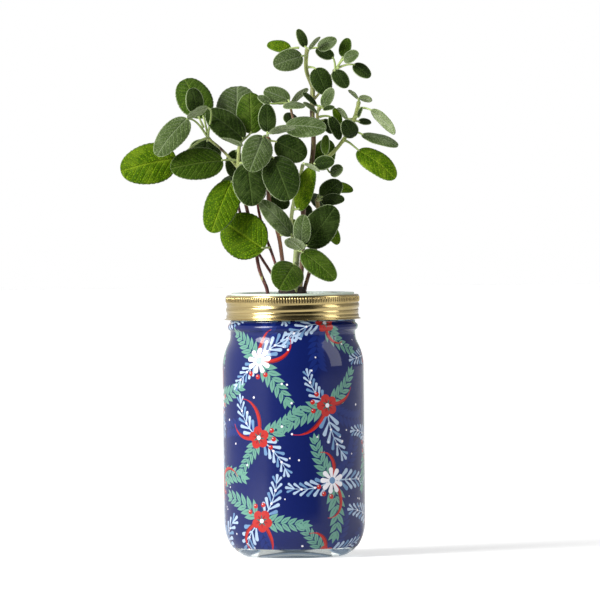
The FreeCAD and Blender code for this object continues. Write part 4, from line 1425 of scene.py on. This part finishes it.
def leafMaterial(name, colours, under=False):
    material, tree, shader = newMaterial(name, Roughness=0.62, Sheen_Weight=colours["down"],
                                         Sheen_Roughness=0.45, Specular_IOR_Level=0.05)
    shader.inputs["Sheen Tint"].default_value = leafLook["downTint"]
    edge = add(tree, "ShaderNodeAttribute", attribute_name="edgeDistance").outputs["Fac"]
    shade = add(tree, "ShaderNodeAttribute", attribute_name="leafShade").outputs["Fac"]
    place = add(tree, "ShaderNodeTexCoord").outputs
    inputs = {"Leaf Place": place["UV"], "Position": place["Object"], "Edge Distance": edge,
              "Side Veins": blade["sideVeins"], "Slant": blade["slant"], "Pebble Scale": blade["pebbles"]}
    pattern = add(tree, "ShaderNodeGroup", inputs, node_tree=leafPattern).outputs
    fleck = screen(*colours["fleck"])
    # Painted shade in the hollows between the pebbles and painted light on their crowns
    body = between(tree, pattern["Pebble"], (colours["deep"], colours["top"]))
    lift = calc(tree, "MULTIPLY_ADD", shade, *leafLook["lift"])
    lift = calc(tree, "MULTIPLY", rise(tree, pattern["Cloud"], *leafLook["cloud"]), lift)
    body = blendColours(tree, lift, body, fleck)
    midrib = calc(tree, "MULTIPLY", pattern["Midrib"], leafLook["midribShare"])
    vein = calc(tree, "MULTIPLY", pattern["Vein"], leafLook["veinShare"])
    body = blendColours(tree, calc(tree, "MAXIMUM", midrib, vein), body, fleck)
    if not under:
        rim = calc(tree, "MULTIPLY", pattern["Rim"], colours["rim"])
        body = blendColours(tree, rim, body, screen(*leafLook["rimTint"]))
    relief = calc(tree, "MULTIPLY", pattern["Pebble"], leafLook["pebbleHeight"])
    relief = calc(tree, "MULTIPLY_ADD", pattern["Vein"], leafLook["veinHeight"][under], relief)
    relief = calc(tree, "MULTIPLY_ADD", pattern["Midrib"], leafLook["midribHeight"][under], relief)
    wire(tree, shader, Base_Color=body, Normal=bump(tree, relief, *leafLook["relief"]))
    return material


def leafOutline(t):
    # Share of the length, and half width at it: blunt at both ends and fuller towards the stalk
    turn = math.pi * t
    return 0.5 - 0.5 * math.cos(turn), math.sin(turn) ** blade["blunt"] * (1 + blade["lean"] * math.cos(turn))


def readLeaf(island, base):
    # A blade's own directions from the points of its solid
    tip = max(island, key=lambda point: (point - base).length)
    along = (tip - base).normalized()
    centre = mean(island)
    spread = Matrix(((0, 0, 0), (0, 0, 0), (0, 0, 0)))
    for point in island:
        away = point - centre
        away -= along * away.dot(along)
        for row in range(3):
            for column in range(3):
                spread[row][column] += away[row] * away[column]
    # Turning again and again towards where the points spread most finds the blade's width
    side = along.orthogonal().normalized()
    turns = 40
    for _ in range(turns):
        side = (spread @ side).normalized()
    normal = along.cross(side)
    if (centre - (base + tip) / 2).dot(normal) < 0:
        side, normal = -side, -normal
    spans = [(point - base).dot(side) for point in island]
    return {"base": base, "along": along, "side": side, "normal": normal, "length": (tip - base).length,
            "width": max(spans) - min(spans)}


def leafSolid(leaf, chance):
    rows, columns = blade["rows"], blade["columns"]
    length, width = leaf["length"], leaf["width"]
    drawn = blade["drawn"]
    bend = chance.uniform(*drawn["bend"])
    twist = chance.uniform(*drawn["twist"])
    wave = [chance.uniform(*drawn["wave"]) * width for _ in range(2)]
    phase = [chance.uniform(*drawn["phase"]) for _ in range(2)]
    fold = chance.uniform(*drawn["fold"])
    lobe = chance.uniform(*drawn["lobe"]) * length
    (rim, pace), (fineRim, finePace) = blade["rim"]
    points, uvs, edge = [], [], []

    def lift(x, y):
        # The top's height over the line from base to tip
        share, out = x / length, y / (width / 2)
        far = abs(out)
        height = blade["arch"] * length * (1 - (2 * share - 1) ** 2) - blade["camber"] * width * out * out
        height -= bend * length * smooth(blade["bendFrom"], 1, share)
        height -= blade["groove"] * width * math.exp(-((out / blade["grooveWide"]) ** 2)) * (1 - share)
        vein = share * blade["sideVeins"] - far / 2 * blade["slant"] + (0.5 if out > 0 else 0)
        pillow = 0.5 - 0.5 * math.cos(2 * math.pi * vein)
        pillow *= smooth(0, blade["quiltFrom"], far) * (1 - smooth(blade["quiltTo"], 1, far))
        height += blade["quilt"] * width * pillow
        hand = 0 if out < 0 else 1
        height += wave[hand] * far ** 3 * math.sin(blade["waves"] * share + phase[hand])
        return height + (fold * width * (far - 0.5) + twist * y * (share - 0.5))

    # Both faces share their points at the rim, and each end is one point
    index = {}
    for row in range(rows + 1):
        along, out = leafOutline(row / rows)
        wavy = 1 + rim * math.sin(row * pace + phase[0]) + fineRim * math.sin(row * finePace + phase[1])
        half = out * width / 2 * wavy
        back = math.exp(-((row / rows / blade["lobeFade"]) ** 2))
        for column in range(columns + 1):
            step = 2 * column / columns - 1
            s = math.copysign(abs(step) ** blade["crowd"], step)
            x, y = along * length - lobe * abs(s) ** blade["lobeRound"] * back, s * half
            top = lift(x, y)
            swell = math.sqrt(max(0, 1 - s ** blade["edgeRound"]))
            thick = blade["thickness"] * swell * min(1, half / 2)
            rib = blade["rib"] * math.exp(-((y / blade["ribWide"]) ** 2)) * (1 - blade["ribTaper"] * along)
            for face, height in ((0, top), (1, top - thick - rib)):
                if face and (row in (0, rows) or column in (0, columns)):
                    index[1, row, column] = index[0, row, column]
                    continue
                if row in (0, rows) and column:
                    index[0, row, column] = index[0, row, 0]
                    continue
                index[face, row, column] = len(points)
                points.append(leaf["base"] + leaf["along"] * x + leaf["side"] * y + leaf["normal"] * height)
                uvs.append((along, 0.5 + y / width))
                edge.append((1 - abs(s)) * half)
    faces, materialOf = [], []
    for row in range(rows):
        for column in range(columns):
            for face in (0, 1):
                places = (row, column), (row + 1, column), (row + 1, column + 1), (row, column + 1)
                corners = list(dict.fromkeys(index[face, down, along] for down, along in places))
                if len(corners) > 2:
                    faces.append(corners if face == 0 else corners[::-1])
                    materialOf.append(face)
    return points, faces, materialOf, uvs, edge


def makeLeaves(node, leaves, materials, seed):
    points, faces, materialOf, uvs, edge, shade = [], [], [], [], [], []
    for number, leaf in enumerate(leaves):
        chance = random.Random(100 * seed + number)
        somePoints, someFaces, someMaterials, someUvs, someEdge = leafSolid(leaf, chance)
        faces += [[corner + len(points) for corner in face] for face in someFaces]
        points += somePoints
        materialOf += someMaterials
        uvs += someUvs
        edge += someEdge
        shade += [chance.random()] * len(somePoints)
    name = node.replace("_leaves", "").replace("_", "") + "Leaves"
    attributes = {"edgeDistance": edge, "leafShade": shade}
    return makePiece(name, points, faces, materials, materialOf, uvs, attributes)


def makePlant():
    stalkSkin = stalkMaterial()
    tops = {tone: leafMaterial(tone + "LeafTop", colours) for tone, colours in litAndShadedLeafTones.items()}
    under = leafMaterial("leafUnderside", underside, True)
    nodes = sorted(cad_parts)
    stalks = {node: [] for node in nodes if node.endswith("_petioles")}
    points, tree = readRods(stalks)
    leaves = {node: [] for node in nodes if node.endswith("_leaves")}
    for node, placed in leaves.items():
        for island in islands(node):
            leaf = readLeaf(island, findBase(island, tree))
            placed.append(leaf)
            stalkNode, root = findRoot(leaf["base"], points, tree)
            stalks[stalkNode].append((root, leaf["base"], leaf["along"]))
    for seed, (node, placed) in enumerate(leaves.items()):
        tone = node.split("_")[-2]
        settle(makeLeaves(node, placed, [tops[tone], under], seed), "pot", "leaf_" + tone, node)
    for node, placed in stalks.items():
        settle(makeStalks(node, placed, stalkSkin), "pot", "petiole", node)
    for node, tone in stemTones.items():
        roots = [root for root, _, _ in stalks[node.replace("_stem", "_petioles")]]
        slot = "stem_red" if node == "reddish_stem" else "stem_green"
        settle(makeStem(node, stemMaterial(node.replace("_", ""), *tone), roots), "pot", slot, node)
    print("plant:", sum(len(found) for found in leaves.values()), "leaves")


def dress(node, material):
    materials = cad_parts[node].data.materials
    materials.clear()
    materials.append(material)


placeCamera()
placeLamps()
makeDaylight()
makeFloor()
print("stage set")

settle(makeGlassJar(glassMaterial()), "jar", "glass", "glass_jar")
inks = {name: filmMaterial(name + "Ink", colour) for name, colour in sleeve["colours"].items()}
settle(makeSleeve(inks, filmBackMaterial()), "jar", "sleeve_film", "printed_sleeve")
print("jar and sleeve made")

gold = goldMaterial()
settle(makeBand(gold), "band", "band_steel", "screw_band")
settle(makeKnurls(gold), "band", "band_steel")
dress("sealing_gasket", mouldedMaterial("gasketRubber", gasketLook))
dress("net_pot", mouldedMaterial("mintPlastic", potLook))
settle(makeMedium(coirMaterial("coir")), "pot", "coir", "growing_medium")
plugCoir = coirMaterial("plugCoir")
settle(makePlug(plugCoir), "pot", "plug_coir", "seed_plug")
settle(makeFibres(plugCoir), "pot", "plug_coir")
settle(makeWick(coirMaterial("wickFelt")), "pot", "wick_fibre", "wick")
print("band, pot and wick made")

makePlant()

scene = bpy.context.scene
scene.view_settings.view_transform = "Standard"
